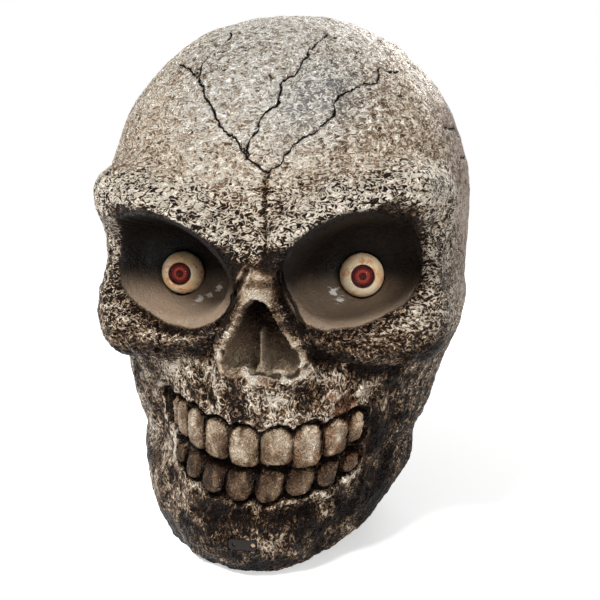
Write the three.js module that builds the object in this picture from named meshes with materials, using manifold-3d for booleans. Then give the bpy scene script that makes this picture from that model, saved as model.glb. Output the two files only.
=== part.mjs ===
// Free-standing skull decoration with motor-driven eyes and a motion sensor in the chin.
// Millimetres, +Z up, the face looks along -Y, the flat base stands on z = 0.
// Places inside the skull are measured from the plane of the two eye axles (y = 0 in the skull group).
import * as THREE from "three";
import { mergeVertices } from "three/addons/utils/BufferGeometryUtils.js";
import Module from "manifold-3d";

const wasm = await Module();
wasm.setup();

// Overall sizes of the moulded skull
const skullHeight = 379;
const halfWidth = 138;
const skullDepth = 292;
const noseReach = 68;
const browReach = 70;
const wallThickness = 4;
const seamShare = 0.315;
const seamGap = 0.4;
const rootDepth = 12;

// Places of the sculpted features
const eyeSpacing = 126.4;
const eyeHeight = 197;
const mouthHeight = 78;
const mouthRise = 13;
const mouthRecess = 5;
const mouthHalfHeight = 28;

// Eye sockets
const orbitHalfWidth = 45;
const orbitHalfHeight = 33;
const orbitDepth = 37;
const orbitMouth = 32;
const orbitInset = 3.2;
const orbitLift = 4;
const orbitTilt = 13;

// Fits
const fitGap = 0.3;
const runGap = 0.35;
const overrun = 5;

// Eyeballs and their axles
const ballRadius = 15;
const ballWall = 1.8;
const ballHoleGap = 0.7;
const ballBackCut = 7;
const irisRadius = 7.8;
const irisThickness = 0.8;
const irisSink = 3.8;
const corneaBulge = 3.4;
const axleRadius = 1.2;
const restGaze = 7.7;
const gazeRise = 3.8;

// Linkage between the eyes
const leverRadius = 18;
const leverWidth = 6;
const leverThickness = 2.5;
const leverDrop = 10.5;
const pegRadius = 1.5;
const gazeSwing = 20;
const barDrop = 13.8;
const barThickness = 3;
const barHalfLength = 69;
const barFront = 13;
const barBack = 23;

// Chassis that carries the eyes and the drive
const chassisDrop = 21;
const chassisThickness = 3;
const chassisFront = 9;
const chassisBack = 62;
const chassisHalfWidth = 92;
const postSetback = 25;
const postDepth = 5;
const armWidth = 5;
const barrelRadius = 3.6;
const barrelHeight = 10;
const strutSpacing = 36;
const strutWidth = 10;
const strutHeight = 45;
const strutScrewHeight = 39;
const tabX = 82.5;
const tabWidth = 15;
const tabScrewDrop = 37;
const tabDrop = 45;
const guideSpacing = 70;
const guideLength = 6;
const guideWall = 2;

// Gears
const gearModule = 0.8;
const sectorTeeth = 36;
const wheelTeeth = 28;
const pinionTeeth = 10;
const gearBacklash = 0.3;
const gearRootShare = 1.15;
const gearTipShare = 0.85;
const gearThickness = 3;
const gearLayerGap = 1;
const crankShaftRadius = 3;
const gearPinRadius = 1.25;
const sectorSpan = 84;

// Motor and gear cover
const motorRadius = 12;
const motorLength = 25;
const motorShaftRadius = 1;
const coverWall = 1.5;
const coverClearance = 2;

// Screws
const screwShankRadius = 1.4;
const screwHeadRadius = 2.8;
const screwHeadHeight = 2;
const screwLength = 12;
const smallScrewShankRadius = 1;
const smallScrewHeadRadius = 1.9;
const smallScrewHeadHeight = 1.3;
const smallScrewLength = 6;
const screwHoleGap = 0.25;
const bossRadius = 5;
const ribThickness = 3;

// Screws that hold the two shells together
const seamBossLength = 36;
const seamScrewSeat = 8;
const upperSeamScrewInset = 23;
const upperSeamScrewHeight = 250;
const lowerSeamScrewInset = 24;
const lowerSeamScrewHeight = 92;

// Base plate
const baseThickness = 4;
const baseGap = 0.4;
const basePostHeight = 26;
const frontPostSetIn = 36;
const frontPostInset = 14;
const rearPostSetIn = 30;
const rearPostRoom = 6;

// Sensor in the chin
const sensorX = -8.3;
const sensorHeight = 27.5;
const bezelWidth = 18.6;
const bezelHeight = 7.4;
const bezelCorner = 2.2;
const bezelProud = 0.3;
const bezelThickness = 2;
const bezelBodyWidth = 17;
const bezelBodyHeight = 6.2;
const bezelBodyLength = 10;
const bezelPocketGap = 0.4;
const lampSpacing = 12.2;
const lampRadius = 1.5;
const lampSink = 0.8;
const sensorBoardWidth = 34;
const sensorBoardHeight = 15;
const boardThickness = 1.6;
const sensorPostSpacing = 27;
const sensorPostRadius = 3;

// Batteries, their box and door
const cellRadius = 7.2;
const cellLength = 49;
const cellNubRadius = 2.7;
const cellNubLength = 1.4;
const cellCount = 3;
const cellPitch = 15.2;
const boxWall = 1.6;
const boxLift = 5;
const boxRoom = 31.5;
const contactSpace = 3.6;
const contactThickness = 0.5;
const contactWidth = 11;
const doorHalfWidth = 33;
const doorBottom = 12;
const doorTop = 60;
const doorGap = 0.5;
const doorDepth = 30;
const hingeRadius = 2.8;
const hingePinRadius = 1;
const hingeInset = 2.9;
const hingeKnuckleLength = 10;
const hingeClearance = 0.6;

// Speaker, control board and switch
const speakerRadius = 20;
const speakerHeight = 15;
const speakerRim = 2;
const speakerLead = 34;
const magnetRadius = 11;
const grilleHoleRadius = 1.6;
const grilleRing = 9;
const grilleHoleCount = 8;
const boardWidth = 56;
const boardHeight = 40;
const boardLead = 22;
const boardLift = 1.2;
const railWidth = 5;
const railDepth = 6;
const railHeight = 30;
const chipSize = 11;
const chipThickness = 1.6;
const capRadius = 3.2;
const capHeight = 8;
const switchX = 26;
const switchLead = 14;
const switchLength = 19;
const switchWidth = 8;
const switchHeight = 6;
const switchTravel = 3.5;
const knobLength = 4;
const knobWidth = 3.4;
const knobLift = 0.8;

// Wire leads inside the skull
const leadRadius = 1.3;
const leadSides = 6;

// Steps of the modelled surfaces
const skinGrid = { columns: 46, rows: 34, frontShare: 0.5, fanShare: 0.16 };
const hollowGrid = { columns: 26, rows: 20, frontShare: 0.34, fanShare: 0.2 };
const castSteps = 60;
const castHalvings = 14;
const roundSides = 12;
const ballSides = 20;
const weldDistance = 1e-4;

const eyeX = eyeSpacing / 2;
const degrees = Math.PI / 180;

// Solids: a three.js geometry becomes a closed solid that can be joined and cut
function toSolid(geometry) {
  const bare = geometry.clone();
  bare.deleteAttribute("normal");
  bare.deleteAttribute("uv");
  const merged = mergeVertices(bare, weldDistance);
  return new wasm.Manifold(new wasm.Mesh({
    numProp: 3,
    vertProperties: new Float32Array(merged.attributes.position.array),
    triVerts: new Uint32Array(merged.index.array),
  }));
}

function finish(color, roughness, metalness = 0) {
  return new THREE.MeshStandardMaterial({ color, roughness, metalness });
}

function part(name, solid, material) {
  const { vertProperties, triVerts } = solid.getMesh();
  const geometry = new THREE.BufferGeometry();
  geometry.setAttribute("position", new THREE.BufferAttribute(new Float32Array(vertProperties), 3));
  geometry.setIndex(new THREE.BufferAttribute(new Uint32Array(triVerts), 1));
  geometry.computeVertexNormals();
  const mesh = new THREE.Mesh(geometry, material);
  mesh.name = name;
  return mesh;
}

function block(low, high) {
  const size = high.map((value, axis) => value - low[axis]);
  const geometry = new THREE.BoxGeometry(...size);
  geometry.translate(...low.map((value, axis) => value + size[axis] / 2));
  return toSolid(geometry);
}

// A round bar along one axis; place holds the two other coordinates in x, y, z order
function rod(axis, radius, from, to, place, sides = roundSides, endRadius = radius) {
  const geometry = new THREE.CylinderGeometry(endRadius, radius, to - from, sides);
  geometry.translate(0, (to + from) / 2, 0);
  if (axis === "x") {
    geometry.rotateZ(-Math.PI / 2);
    geometry.translate(0, place[0], place[1]);
  } else if (axis === "y") {
    geometry.translate(place[0], 0, place[1]);
  } else {
    geometry.rotateX(Math.PI / 2);
    geometry.translate(place[0], place[1], 0);
  }
  return toSolid(geometry);
}

function union(solids) {
  return solids.reduce((whole, solid) => whole.add(solid));
}

function prism(points, from, to) {
  const shape = new THREE.Shape(points.map(([x, y]) => new THREE.Vector2(x, y)));
  const geometry = new THREE.ExtrudeGeometry(shape, { depth: to - from, bevelEnabled: false });
  geometry.translate(0, 0, from);
  return toSolid(geometry);
}

// The sculpture. It is a field: negative inside the skull, zero on its skin.
// Rows of the tables are shares: x and radius of the half width, y of the depth,
// z of the height, counted from the eyes in the face tables and from the base in the jaw tables.
const faceRow = ([x, y, z, r]) => [x * halfWidth, y * skullDepth, eyeHeight + z * skullHeight, r * halfWidth];
const jawRow = ([x, y, z, r]) => [x * halfWidth, y * skullDepth, z * skullHeight, r * halfWidth];

const browShares = [
  [0.058, -0.171, 0.021, 0.094], [0.196, -0.178, 0.066, 0.145], [0.413, -0.154, 0.121, 0.17],
  [0.638, -0.089, 0.142, 0.17], [0.754, 0.003, 0.132, 0.149],
];
const glabellaShares = [[0.058, -0.144, 0.077, 0.101], [0.087, -0.13, 0.135, 0.087],
  [0.174, -0.116, 0.172, 0.058]];
const rimShares = [
  [0.761, 0.007, 0.092, 0.101], [0.761, -0.014, 0.029, 0.08], [0.746, -0.041, -0.037, 0.123],
  [0.681, -0.068, -0.09, 0.152], [0.507, -0.113, -0.106, 0.087], [0.333, -0.134, -0.098, 0.069],
  [0.217, -0.151, -0.066, 0.058], [0.145, -0.158, -0.018, 0.058],
];
const cheekArchShares = [[0.732, -0.007, -0.084, 0.159], [0.819, 0.103, -0.077, 0.123],
  [0.884, 0.24, -0.058, 0.087]];
const noseBridgeShares = [[0, -0.137, 0.055, 0.087], [0, -0.171, 0.008, 0.072], [0, -0.205, -0.018, 0.058]];
const noseRimShares = [
  [0, -0.205, -0.021, 0.054], [0.109, -0.192, -0.061, 0.054], [0.188, -0.168, -0.106, 0.054],
  [0.181, -0.158, -0.14, 0.054], [0.087, -0.168, -0.156, 0.051], [0, -0.178, -0.153, 0.047],
];
const jawLineShares = [[0.159, -0.075, 0.063, 0.174], [0.406, 0.007, 0.095, 0.188],
  [0.58, 0.137, 0.148, 0.181]];

const browPath = browShares.map(faceRow);
const glabellaPath = glabellaShares.map(faceRow);
const rimPath = rimShares.map(faceRow);
const cheekArchPath = cheekArchShares.map(faceRow);
const noseBridgePath = noseBridgeShares.map(faceRow);
const noseRimPath = noseRimShares.map(faceRow);
const jawLinePath = jawLineShares.map(jawRow);

// Column of jaw, cheeks and neck: height, half width, front and back
const columnHeightShares = [-0.026, 0, 0.053, 0.145, 0.19, 0.227, 0.264, 0.388, 0.528];
const columnWidthShares = [0.536, 0.558, 0.601, 0.696, 0.746, 0.801, 0.819, 0.826, 0.812];
const columnFrontShares = [-0.089, -0.096, -0.103, -0.082, -0.077, -0.072, -0.068, -0.068, -0.082];
const columnBackShares = [0.438, 0.445, 0.459, 0.479, 0.493, 0.507, 0.52, 0.575, 0.582];
const columnTopShare = 0.501;

// The front of the head sways a little to one side: its middle, by height
const swayStartShare = 0.17;
const swayEndShare = 0.4;
const swayHeightShares = [0, 0.053, 0.106, 0.158, 0.237, 0.317, 0.388, 0.528, 0.649, 0.749, 0.871];
const swayShares = [-0.116, -0.08, -0.062, -0.043, -0.029, -0.029, 0.007, 0.004, 0.004, 0.014, 0.022];

// The sculpted face leans a little: its middle line, by height
const middleHeightShares = [0, 0.071, 0.158, 0.216, 0.383, 0.528, 0.79];
const middleShares = [-0.058, -0.058, -0.014, 0.014, 0.036, 0.036, 0.022];

// Nose opening, right half from the top down: half width and height from the eyes
const noseOutlineShares = [
  [0, -0.018], [0.04, -0.032], [0.101, -0.077], [0.15, -0.108], [0.165, -0.13],
  [0.145, -0.15], [0.087, -0.155], [0.03, -0.145], [0, -0.137],
];
const noseFloorShare = -0.13;
const septumFrontShare = -0.178;
const septumTopShare = -0.077;
const septumWidthShare = 0.013;

// Cranium, chin and the arch of the jaws
const craniumHeightShare = 0.586;
const craniumHalfShares = [0.4795, 0.414, 0.396];
const craniumWideHeightShares = [0.528, 0.691, 0.818, 1];
const craniumWideShares = [0.985, 1.007, 0.993, 0.957];
const craniumSquareness = 2.3;
const columnSquareness = 2.5;
const chinCentreShares = [0, -0.089, 0.071];
const chinHalfShares = [0.333, 0.123, 0.09];
const archHalfWidthShare = 0.551;
const archHalfDepthShare = 0.209;
const archCentreShare = 0.017;
const archTopShare = 0.364;
const archBottomShare = 0.121;

// Teeth: angle on the arch, half width, lower and upper end counted from the mouth line
const upperToothShares = [
  [-1.1, 0.04, 0.011, 0.069], [-0.9, 0.047, 0.008, 0.074], [-0.68, 0.057, 0.005, 0.077],
  [-0.42, 0.07, 0.003, 0.074], [-0.145, 0.077, 0, 0.071], [0.15, 0.078, 0.005, 0.071],
  [0.43, 0.071, -0.005, 0.071], [0.7, 0.062, 0.003, 0.069], [0.94, 0.051, 0.013, 0.069],
];
const lowerToothShares = [
  [-0.9, 0.04, -0.045, -0.011], [-0.67, 0.058, -0.053, -0.005], [-0.41, 0.068, -0.061, -0.005],
  [-0.14, 0.075, -0.061, -0.008], [0.125, 0.07, -0.061, -0.008], [0.4, 0.068, -0.055, -0.011],
  [0.66, 0.058, -0.053, -0.008], [0.9, 0.046, -0.042, -0.008],
];
const toothProud = 2.2;
const toothCrown = 1.4;
const toothRoundShare = 0.45;
const mouthHalfAngle = 1.2;

// How far neighbouring forms melt into each other
const blendShares = { column: 0.29, brow: 0.065, glabella: 0.116, rim: 0.051, cheek: 0.101,
  bridge: 0.087, noseRim: 0.051, jaw: 0.12, chin: 0.13 };
const blend = Object.fromEntries(Object.entries(blendShares)
  .map(([name, share]) => [name, share * halfWidth]));

function smoothMin(a, b, reach) {
  const h = Math.max(reach - Math.abs(a - b), 0) / reach;
  return Math.min(a, b) - h * h * reach / 4;
}

function smoothMax(a, b, reach) {
  return -smoothMin(-a, -b, reach);
}

// Straight lines between the rows of two tables
function along(value, stops, results) {
  let row = 1;
  while (row < stops.length - 1 && value > stops[row]) row += 1;
  const share = THREE.MathUtils.clamp((value - stops[row - 1]) / (stops[row] - stops[row - 1]), 0, 1);
  return results[row - 1] + share * (results[row] - results[row - 1]);
}

// Distance to a chain of balls joined by cones
function chainDistance(x, y, z, path) {
  let nearest = Infinity;
  for (let i = 1; i < path.length; i += 1) {
    const [ax, ay, az, ar] = path[i - 1];
    const [bx, by, bz, br] = path[i];
    const [dx, dy, dz] = [bx - ax, by - ay, bz - az];
    const share = THREE.MathUtils.clamp(((x - ax) * dx + (y - ay) * dy + (z - az) * dz)
      / (dx * dx + dy * dy + dz * dz), 0, 1);
    const gap = Math.hypot(x - ax - share * dx, y - ay - share * dy, z - az - share * dz);
    nearest = Math.min(nearest, gap - ar - share * (br - ar));
  }
  return nearest;
}

function ellipsoidDistance(x, y, z, [rx, ry, rz]) {
  const unit = Math.hypot(x / rx, y / ry, z / rz) + weldDistance;
  const slope = Math.hypot(x / rx / rx, y / ry / ry, z / rz / rz) + weldDistance / rx;
  return unit * (unit - 1) / slope;
}

const craniumBack = skullDepth - noseReach;
const craniumHalfDepth = craniumHalfShares[0] * skullDepth;

function craniumDistance(x, y, z) {
  const rise = z - craniumHeightShare * skullHeight;
  const reach = (rise > 0 ? craniumHalfShares[1] : craniumHalfShares[2]) * skullHeight;
  const half = along(z / skullHeight, craniumWideHeightShares, craniumWideShares) * halfWidth;
  const sum = (Math.abs(x) / half) ** craniumSquareness
    + (Math.abs(y - craniumBack + craniumHalfDepth) / craniumHalfDepth) ** craniumSquareness
    + (Math.abs(rise) / reach) ** craniumSquareness;
  return (sum ** (1 / craniumSquareness) - 1) * halfWidth;
}

function columnDistance(x, y, z) {
  const height = z / skullHeight;
  const half = along(height, columnHeightShares, columnWidthShares) * halfWidth;
  const front = along(height, columnHeightShares, columnFrontShares) * skullDepth;
  const back = along(height, columnHeightShares, columnBackShares) * skullDepth;
  const sum = (Math.abs(x) / half) ** columnSquareness
    + (Math.abs(2 * y - front - back) / (back - front)) ** columnSquareness;
  const wall = (sum ** (1 / columnSquareness) - 1) * half;
  return smoothMax(wall, z - columnTopShare * skullHeight, blend.column);
}

// Arch that the teeth stand on, seen from above
const archHalfWidth = archHalfWidthShare * halfWidth;
const archHalfDepth = archHalfDepthShare * skullDepth;
const archCentre = archCentreShare * skullDepth;

function archDistance(x, y) {
  return (Math.hypot(x / archHalfWidth, (archCentre - y) / archHalfDepth) - 1)
    * Math.sqrt(archHalfWidth * archHalfDepth);
}

const faceLean = (z) => along(z / skullHeight, middleHeightShares, middleShares) * halfWidth;

function bodySway(y, z) {
  const fade = THREE.MathUtils.clamp((swayEndShare - y / skullDepth) / (swayEndShare - swayStartShare), 0, 1);
  return along(z / skullHeight, swayHeightShares, swayShares) * halfWidth * fade;
}

// The hollow inside is cast from the plain field, which leaves out the ridges
function skullField(x, y, z, detailed) {
  const side = Math.abs(x);
  const faceX = x - faceLean(z);
  const faceSide = Math.abs(faceX);
  const bodyX = x - bodySway(y, z);
  let skin = smoothMin(craniumDistance(bodyX, y, z), columnDistance(bodyX, y, z), blend.column);
  if (detailed) {
    skin = smoothMin(skin, chainDistance(side, y, z, browPath), blend.brow);
    skin = smoothMin(skin, chainDistance(side, y, z, glabellaPath), blend.glabella);
    skin = smoothMin(skin, chainDistance(side, y, z, rimPath), blend.rim);
    skin = smoothMin(skin, chainDistance(side, y, z, cheekArchPath), blend.cheek);
    skin = smoothMin(skin, chainDistance(faceSide, y, z, noseBridgePath), blend.bridge);
    skin = smoothMin(skin, chainDistance(faceSide, y, z, noseRimPath), blend.noseRim);
  }
  const jaws = smoothMax(smoothMax(archDistance(faceX, y), z - archTopShare * skullHeight, blend.jaw),
    archBottomShare * skullHeight - z, blend.jaw);
  skin = smoothMin(skin, jaws, blend.cheek);
  skin = smoothMin(skin, ellipsoidDistance(faceX, y - chinCentreShares[1] * skullDepth,
    z - chinCentreShares[2] * skullHeight,
    [chinHalfShares[0] * halfWidth, chinHalfShares[1] * skullDepth, chinHalfShares[2] * skullHeight]),
    blend.chin);
  return smoothMin(skin, chainDistance(Math.abs(bodyX), y, z, jawLinePath), blend.jaw);
}

// Distance from a place inside to the plain skin, along x or y
function skinReach(x, y, z, [stepX, stepY], detailed = false) {
  let [near, far] = [0, skullDepth];
  for (let i = 0; i < castSteps; i += 1) {
    const middle = (near + far) / 2;
    if (skullField(x + stepX * middle, y + stepY * middle, z, detailed) > 0) far = middle;
    else near = middle;
  }
  return near;
}

// Places that follow the skin
const narrowReach = (y, z) => Math.min(skinReach(0, y, z, [1, 0]), skinReach(0, y, z, [-1, 0]));
const seamSetback = seamShare * skullDepth;
const upperSeamScrewX = narrowReach(seamSetback, upperSeamScrewHeight) - upperSeamScrewInset;
const lowerSeamScrewX = narrowReach(seamSetback, lowerSeamScrewHeight) - lowerSeamScrewInset;
const frontPostY = frontPostSetIn - skinReach(0, 0, 0, [0, -1]);
const frontPostX = narrowReach(frontPostY, 0) - frontPostInset;
const boxHalfWidth = cellLength / 2 + contactSpace + boxWall;
const rearPostY = skinReach(0, 0, 0, [0, 1]) - rearPostSetIn;
const rearPostX = boxHalfWidth + bossRadius + rearPostRoom;
const bezelFront = skinReach(sensorX, 0, sensorHeight, [0, -1], true) + bezelProud;
const hingeSetback = skinReach(0, 0, doorBottom, [0, 1]) - hingeInset;
const boxFront = hingeSetback - boxRoom;
const boardSetback = boxFront - boardLead;
const switchSetback = boardSetback - switchLead;
const speakerSetback = switchSetback - speakerLead;

// Rays from a core inside the skull: nearly straight ahead over the face, fanning out round the sides
const frontFan = 22;
const backFan = 150;
const coreHeightShares = [0, 0.063, 0.145, 0.264, 0.396, 0.691];
const coreWidthShares = [0.16, 0.246, 0.449, 0.609, 0.667, 0.667];
const coreSetback = 45;
const coreTopShare = 0.691;
const topRowsShare = 0.2;
const topTilt = 10;
const coreShrinkPower = 1.6;

function rayColumn(share, { frontShare, fanShare }) {
  if (share < frontShare) {
    const across = 2 * share / frontShare - 1;
    return { across, turn: frontFan * across };
  }
  if (share < frontShare + fanShare) {
    return { across: 1, turn: frontFan + (backFan - frontFan) * (share - frontShare) / fanShare };
  }
  if (share < 1 - fanShare) {
    const round = (share - frontShare - fanShare) / (1 - frontShare - 2 * fanShare);
    return { across: 1 - 2 * round, turn: backFan + (360 - 2 * backFan) * round };
  }
  return { across: -1, turn: 360 - backFan + (backFan - frontFan) * (share - 1 + fanShare) / fanShare };
}

function rayRow(share) {
  const [bottom, top] = [-rootDepth / 2, coreTopShare * skullHeight];
  if (share < 1 - topRowsShare) {
    const up = share / (1 - topRowsShare);
    return { z: bottom + (top - bottom) * up, tilt: topTilt * up, spread: 1 };
  }
  const up = (share - 1 + topRowsShare) / topRowsShare;
  return { z: top, tilt: topTilt + (90 - topTilt) * up, spread: 1 - up ** coreShrinkPower };
}

// The skin is the first place along a ray where the field passes the level
function castPoint(row, column, level, detailed) {
  const core = along(row.z / skullHeight, coreHeightShares, coreWidthShares) * halfWidth * row.spread;
  const start = new THREE.Vector3(column.across * core, coreSetback + (1 - row.spread) * coreSetback / 2,
    row.z);
  const flat = Math.cos(row.tilt * degrees);
  const heading = new THREE.Vector3(flat * Math.sin(column.turn * degrees),
    -flat * Math.cos(column.turn * degrees), Math.sin(row.tilt * degrees));
  const depthAt = (reach) => {
    const { x, y, z } = start.clone().addScaledVector(heading, reach);
    return Math.max(skullField(x, y, z, detailed), -z - rootDepth) - level;
  };
  const step = skullHeight / castSteps;
  let near = 0;
  while (depthAt(near + step) < 0) near += step;
  let far = near + step;
  for (let i = 0; i < castHalvings; i += 1) {
    const middle = (near + far) / 2;
    if (depthAt(middle) > 0) far = middle;
    else near = middle;
  }
  return start.addScaledVector(heading, near);
}

function castSolid(grid, level, detailed) {
  const { columns, rows } = grid;
  const ring = Array.from({ length: columns }, (_, i) => rayColumn(i / columns, grid));
  const pole = { z: 0, tilt: -90, spread: 0 };
  const points = [castPoint(pole, ring[0], level, detailed)];
  for (let j = 0; j < rows; j += 1) {
    const row = rayRow(j / rows);
    ring.forEach((column) => points.push(castPoint(row, column, level, detailed)));
  }
  const last = points.push(castPoint(rayRow(1), ring[0], level, detailed)) - 1;
  const triangles = [];
  for (let i = 0; i < columns; i += 1) {
    const next = (i + 1) % columns;
    triangles.push(0, 1 + next, 1 + i);
    for (let j = 0; j < rows - 1; j += 1) {
      const [a, b] = [1 + j * columns + i, 1 + j * columns + next];
      triangles.push(a, b, b + columns, a, b + columns, a + columns);
    }
    triangles.push(last, last - columns + i, last - columns + next);
  }
  return new wasm.Manifold(new wasm.Mesh({
    numProp: 3,
    vertProperties: new Float32Array(points.flatMap(({ x, y, z }) => [x, y, z])),
    triVerts: new Uint32Array(triangles),
  }));
}

const beyond = skullHeight + overrun;
const sides = [["left", 1], ["right", -1]];

// Eye socket: a bowl with a flared mouth; grow sets the outside of its wall
function orbitSolid(side, grow) {
  const steps = 7;
  const bowl = Array.from({ length: steps }, (_, i) => {
    const turn = (i / (steps - 1)) * Math.PI / 2;
    return new THREE.Vector2(Math.sin(turn), Math.cos(turn) * (orbitDepth + grow));
  });
  const reach = noseReach + 3 * overrun - orbitMouth;
  const flare = 1 + reach / (2 * (orbitDepth + orbitHalfWidth));
  bowl[0].x = 0;
  const profile = [new THREE.Vector2(0, -reach), new THREE.Vector2(flare, -reach), ...bowl.reverse()];
  const geometry = new THREE.LatheGeometry(profile, 2 * roundSides);
  geometry.scale(orbitHalfWidth + grow, 1, orbitHalfHeight + grow);
  geometry.rotateY(-side * orbitTilt * degrees);
  geometry.translate(side * (eyeX - orbitInset), -orbitMouth, eyeHeight + orbitLift);
  return toSolid(geometry);
}

// Nose opening with the bony septum left standing in it
function noseSolid(grow) {
  const half = noseOutlineShares.map(([x, z]) => [x * halfWidth + (x > 0 ? grow : 0),
    z * skullHeight + grow * Math.sign(z - septumTopShare)]);
  const outline = [...half, ...half.slice(1, -1).reverse().map(([x, z]) => [-x, z])];
  const lean = faceLean(eyeHeight + septumTopShare * skullHeight);
  const shape = new THREE.Shape(outline.map(([x, z]) => new THREE.Vector2(lean + x, eyeHeight + z)));
  const floor = noseFloorShare * skullDepth + grow;
  const geometry = new THREE.ExtrudeGeometry(shape,
    { depth: floor + noseReach + overrun, bevelEnabled: false });
  geometry.rotateX(Math.PI / 2);
  geometry.translate(0, floor, 0);
  const septumHalf = septumWidthShare * halfWidth;
  const septum = block([lean - septumHalf, septumFrontShare * skullDepth, 0],
    [lean + septumHalf, floor + overrun, eyeHeight + septumTopShare * skullHeight]);
  return grow > 0 ? toSolid(geometry) : toSolid(geometry).subtract(septum);
}

// Recess round the arch for the teeth; its band rises towards the ends as the mouth line does
const mouthLean = faceLean(mouthHeight);
const mouthLift = (x) => mouthRise * ((x - mouthLean) / archHalfWidth) ** 2;

function mouthSolid(grow) {
  const steps = 14;
  const depth = mouthRecess + grow;
  const arc = Array.from({ length: steps + 1 }, (_, i) => {
    const turn = (2 * i / steps - 1) * (mouthHalfAngle + grow / archHalfWidth);
    return [mouthLean + (archHalfWidth - depth) * Math.sin(turn),
      archCentre - (archHalfDepth - depth) * Math.cos(turn)];
  });
  const outer = [...arc].reverse().map(([x, y]) => [mouthLean + (x - mouthLean) * 2,
    archCentre + (y - archCentre) * 2]);
  const low = mouthHeight - mouthHalfHeight - grow;
  const shape = new THREE.Shape([...arc, ...outer].map(([x, y]) => new THREE.Vector2(x, y)));
  const geometry = new THREE.ExtrudeGeometry(shape,
    { depth: 2 * (mouthHalfHeight + grow), bevelEnabled: false });
  geometry.translate(0, 0, low);
  const place = geometry.attributes.position;
  for (let i = 0; i < place.count; i += 1) place.setZ(i, place.getZ(i) + mouthLift(place.getX(i)));
  return toSolid(geometry);
}

// One tooth: a rounded block on the arch with a bevelled front
function toothSolid([angle, widthShare, lowShare, highShare]) {
  const half = widthShare * halfWidth - toothCrown;
  const low = lowShare * skullHeight + toothCrown;
  const high = highShare * skullHeight - toothCrown;
  const corner = half * toothRoundShare;
  const shape = new THREE.Shape();
  shape.absarc(half - corner, low + corner, corner, -Math.PI / 2, 0);
  shape.absarc(half - corner, high - corner, corner, 0, Math.PI / 2);
  shape.absarc(-half + corner, high - corner, corner, Math.PI / 2, Math.PI);
  shape.absarc(-half + corner, low + corner, corner, Math.PI, Math.PI * 3 / 2);
  const depth = mouthRecess + wallThickness / 2 + toothProud - 2 * toothCrown;
  const geometry = new THREE.ExtrudeGeometry(shape, { depth, curveSegments: 1,
    bevelSegments: 1, bevelSize: toothCrown, bevelThickness: toothCrown });
  geometry.translate(0, 0, toothProud - toothCrown - depth);
  const [sin, cos] = [Math.sin(angle), Math.cos(angle)];
  const x = mouthLean + archHalfWidth * sin;
  geometry.applyMatrix4(new THREE.Matrix4().makeBasis(new THREE.Vector3(cos, sin, 0),
    new THREE.Vector3(0, 0, 1), new THREE.Vector3(sin, -cos, 0)));
  geometry.translate(x, archCentre - archHalfDepth * cos, mouthHeight + mouthLift(x));
  return toSolid(geometry);
}

// The hollow keeps a wall round the sockets, the nose and the tooth recess
const plainSkin = castSolid(skinGrid, 0, true);
const wallMiddle = castSolid(skinGrid, -wallThickness / 2, true);
const openings = union([orbitSolid(1, 0), orbitSolid(-1, 0), noseSolid(0), mouthSolid(0)]);
const openingWalls = union([orbitSolid(1, wallThickness), orbitSolid(-1, wallThickness),
  noseSolid(wallThickness),
  mouthSolid(wallThickness)]);
const teeth = union([...upperToothShares, ...lowerToothShares].map(toothSolid));
const hollow = castSolid(hollowGrid, -wallThickness, false).subtract(openingWalls).decompose()
  .reduce((largest, space) => (space.volume() > largest.volume() ? space : largest));
const plateSkin = castSolid(hollowGrid, -wallThickness - baseGap, false);
const wholeShell = plainSkin.subtract(openings).add(teeth).subtract(hollow);
const trimSpace = wallMiddle.subtract(openings);
const faceSpace = block([-beyond, -beyond, 0], [beyond, seamSetback - seamGap / 2, beyond]);
const rearSpace = block([-beyond, seamSetback + seamGap / 2, 0], [beyond, beyond, beyond]);

// Screws: a pan head and a shank, seated on a face and driven along an axis
const bigScrew = { shank: screwShankRadius, head: screwHeadRadius, headHeight: screwHeadHeight,
  length: screwLength };
const smallScrew = { shank: smallScrewShankRadius, head: smallScrewHeadRadius,
  headHeight: smallScrewHeadHeight, length: smallScrewLength };

function screwSolid(size, axis, seat, direction, place) {
  const under = seat - direction * fitGap;
  const top = under - direction * size.headHeight;
  const tip = under + direction * size.length;
  const head = rod(axis, size.head, Math.min(under, top), Math.max(under, top), place);
  const shank = rod(axis, size.shank, Math.min(top, tip), Math.max(top, tip), place);
  return head.add(shank);
}

function screwHole(size, axis, seat, direction, place) {
  const tip = seat + direction * (size.length + fitGap);
  const start = seat - direction * overrun;
  return rod(axis, size.shank + screwHoleGap, Math.min(start, tip), Math.max(start, tip), place);
}

const steel = () => finish("#8d8f92", 0.35, 0.9);
const bone = () => finish("#857a6c", 0.72);
const blackPlastic = () => finish("#26262a", 0.55);
const greyPlastic = () => finish("#5b5d60", 0.6);
const whitePlastic = () => finish("#d8d4c6", 0.5);

// Shells: face and rear, split behind the widest part, with their screw bosses
const seamScrews = [[upperSeamScrewX, upperSeamScrewHeight], [lowerSeamScrewX, lowerSeamScrewHeight]]
  .flatMap(([x, z]) => [[x, z], [-x, z]]);
const strutBack = postSetback + ribThickness;
const chassisScrews = [
  { seat: strutBack, place: [strutSpacing / 2, eyeHeight + strutScrewHeight] },
  { seat: strutBack, place: [-strutSpacing / 2, eyeHeight + strutScrewHeight] },
  { seat: chassisFront + ribThickness, place: [tabX, eyeHeight - tabScrewDrop] },
  { seat: chassisFront + ribThickness, place: [-tabX, eyeHeight - tabScrewDrop] },
];
const baseScrewSeat = screwHeadHeight + 2 * fitGap;
const frontPosts = [[frontPostX, frontPostY], [-frontPostX, frontPostY]];
const rearPosts = [[rearPostX, rearPostY], [-rearPostX, rearPostY]];
const bezelBack = bezelFront - bezelThickness - bezelBodyLength;
const sensorPosts = [sensorX - sensorPostSpacing / 2, sensorX + sensorPostSpacing / 2];
const lampPlaces = [sensorX - lampSpacing / 2 + lampRadius / 2, sensorX + lampSpacing / 2 + lampRadius / 2];

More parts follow.
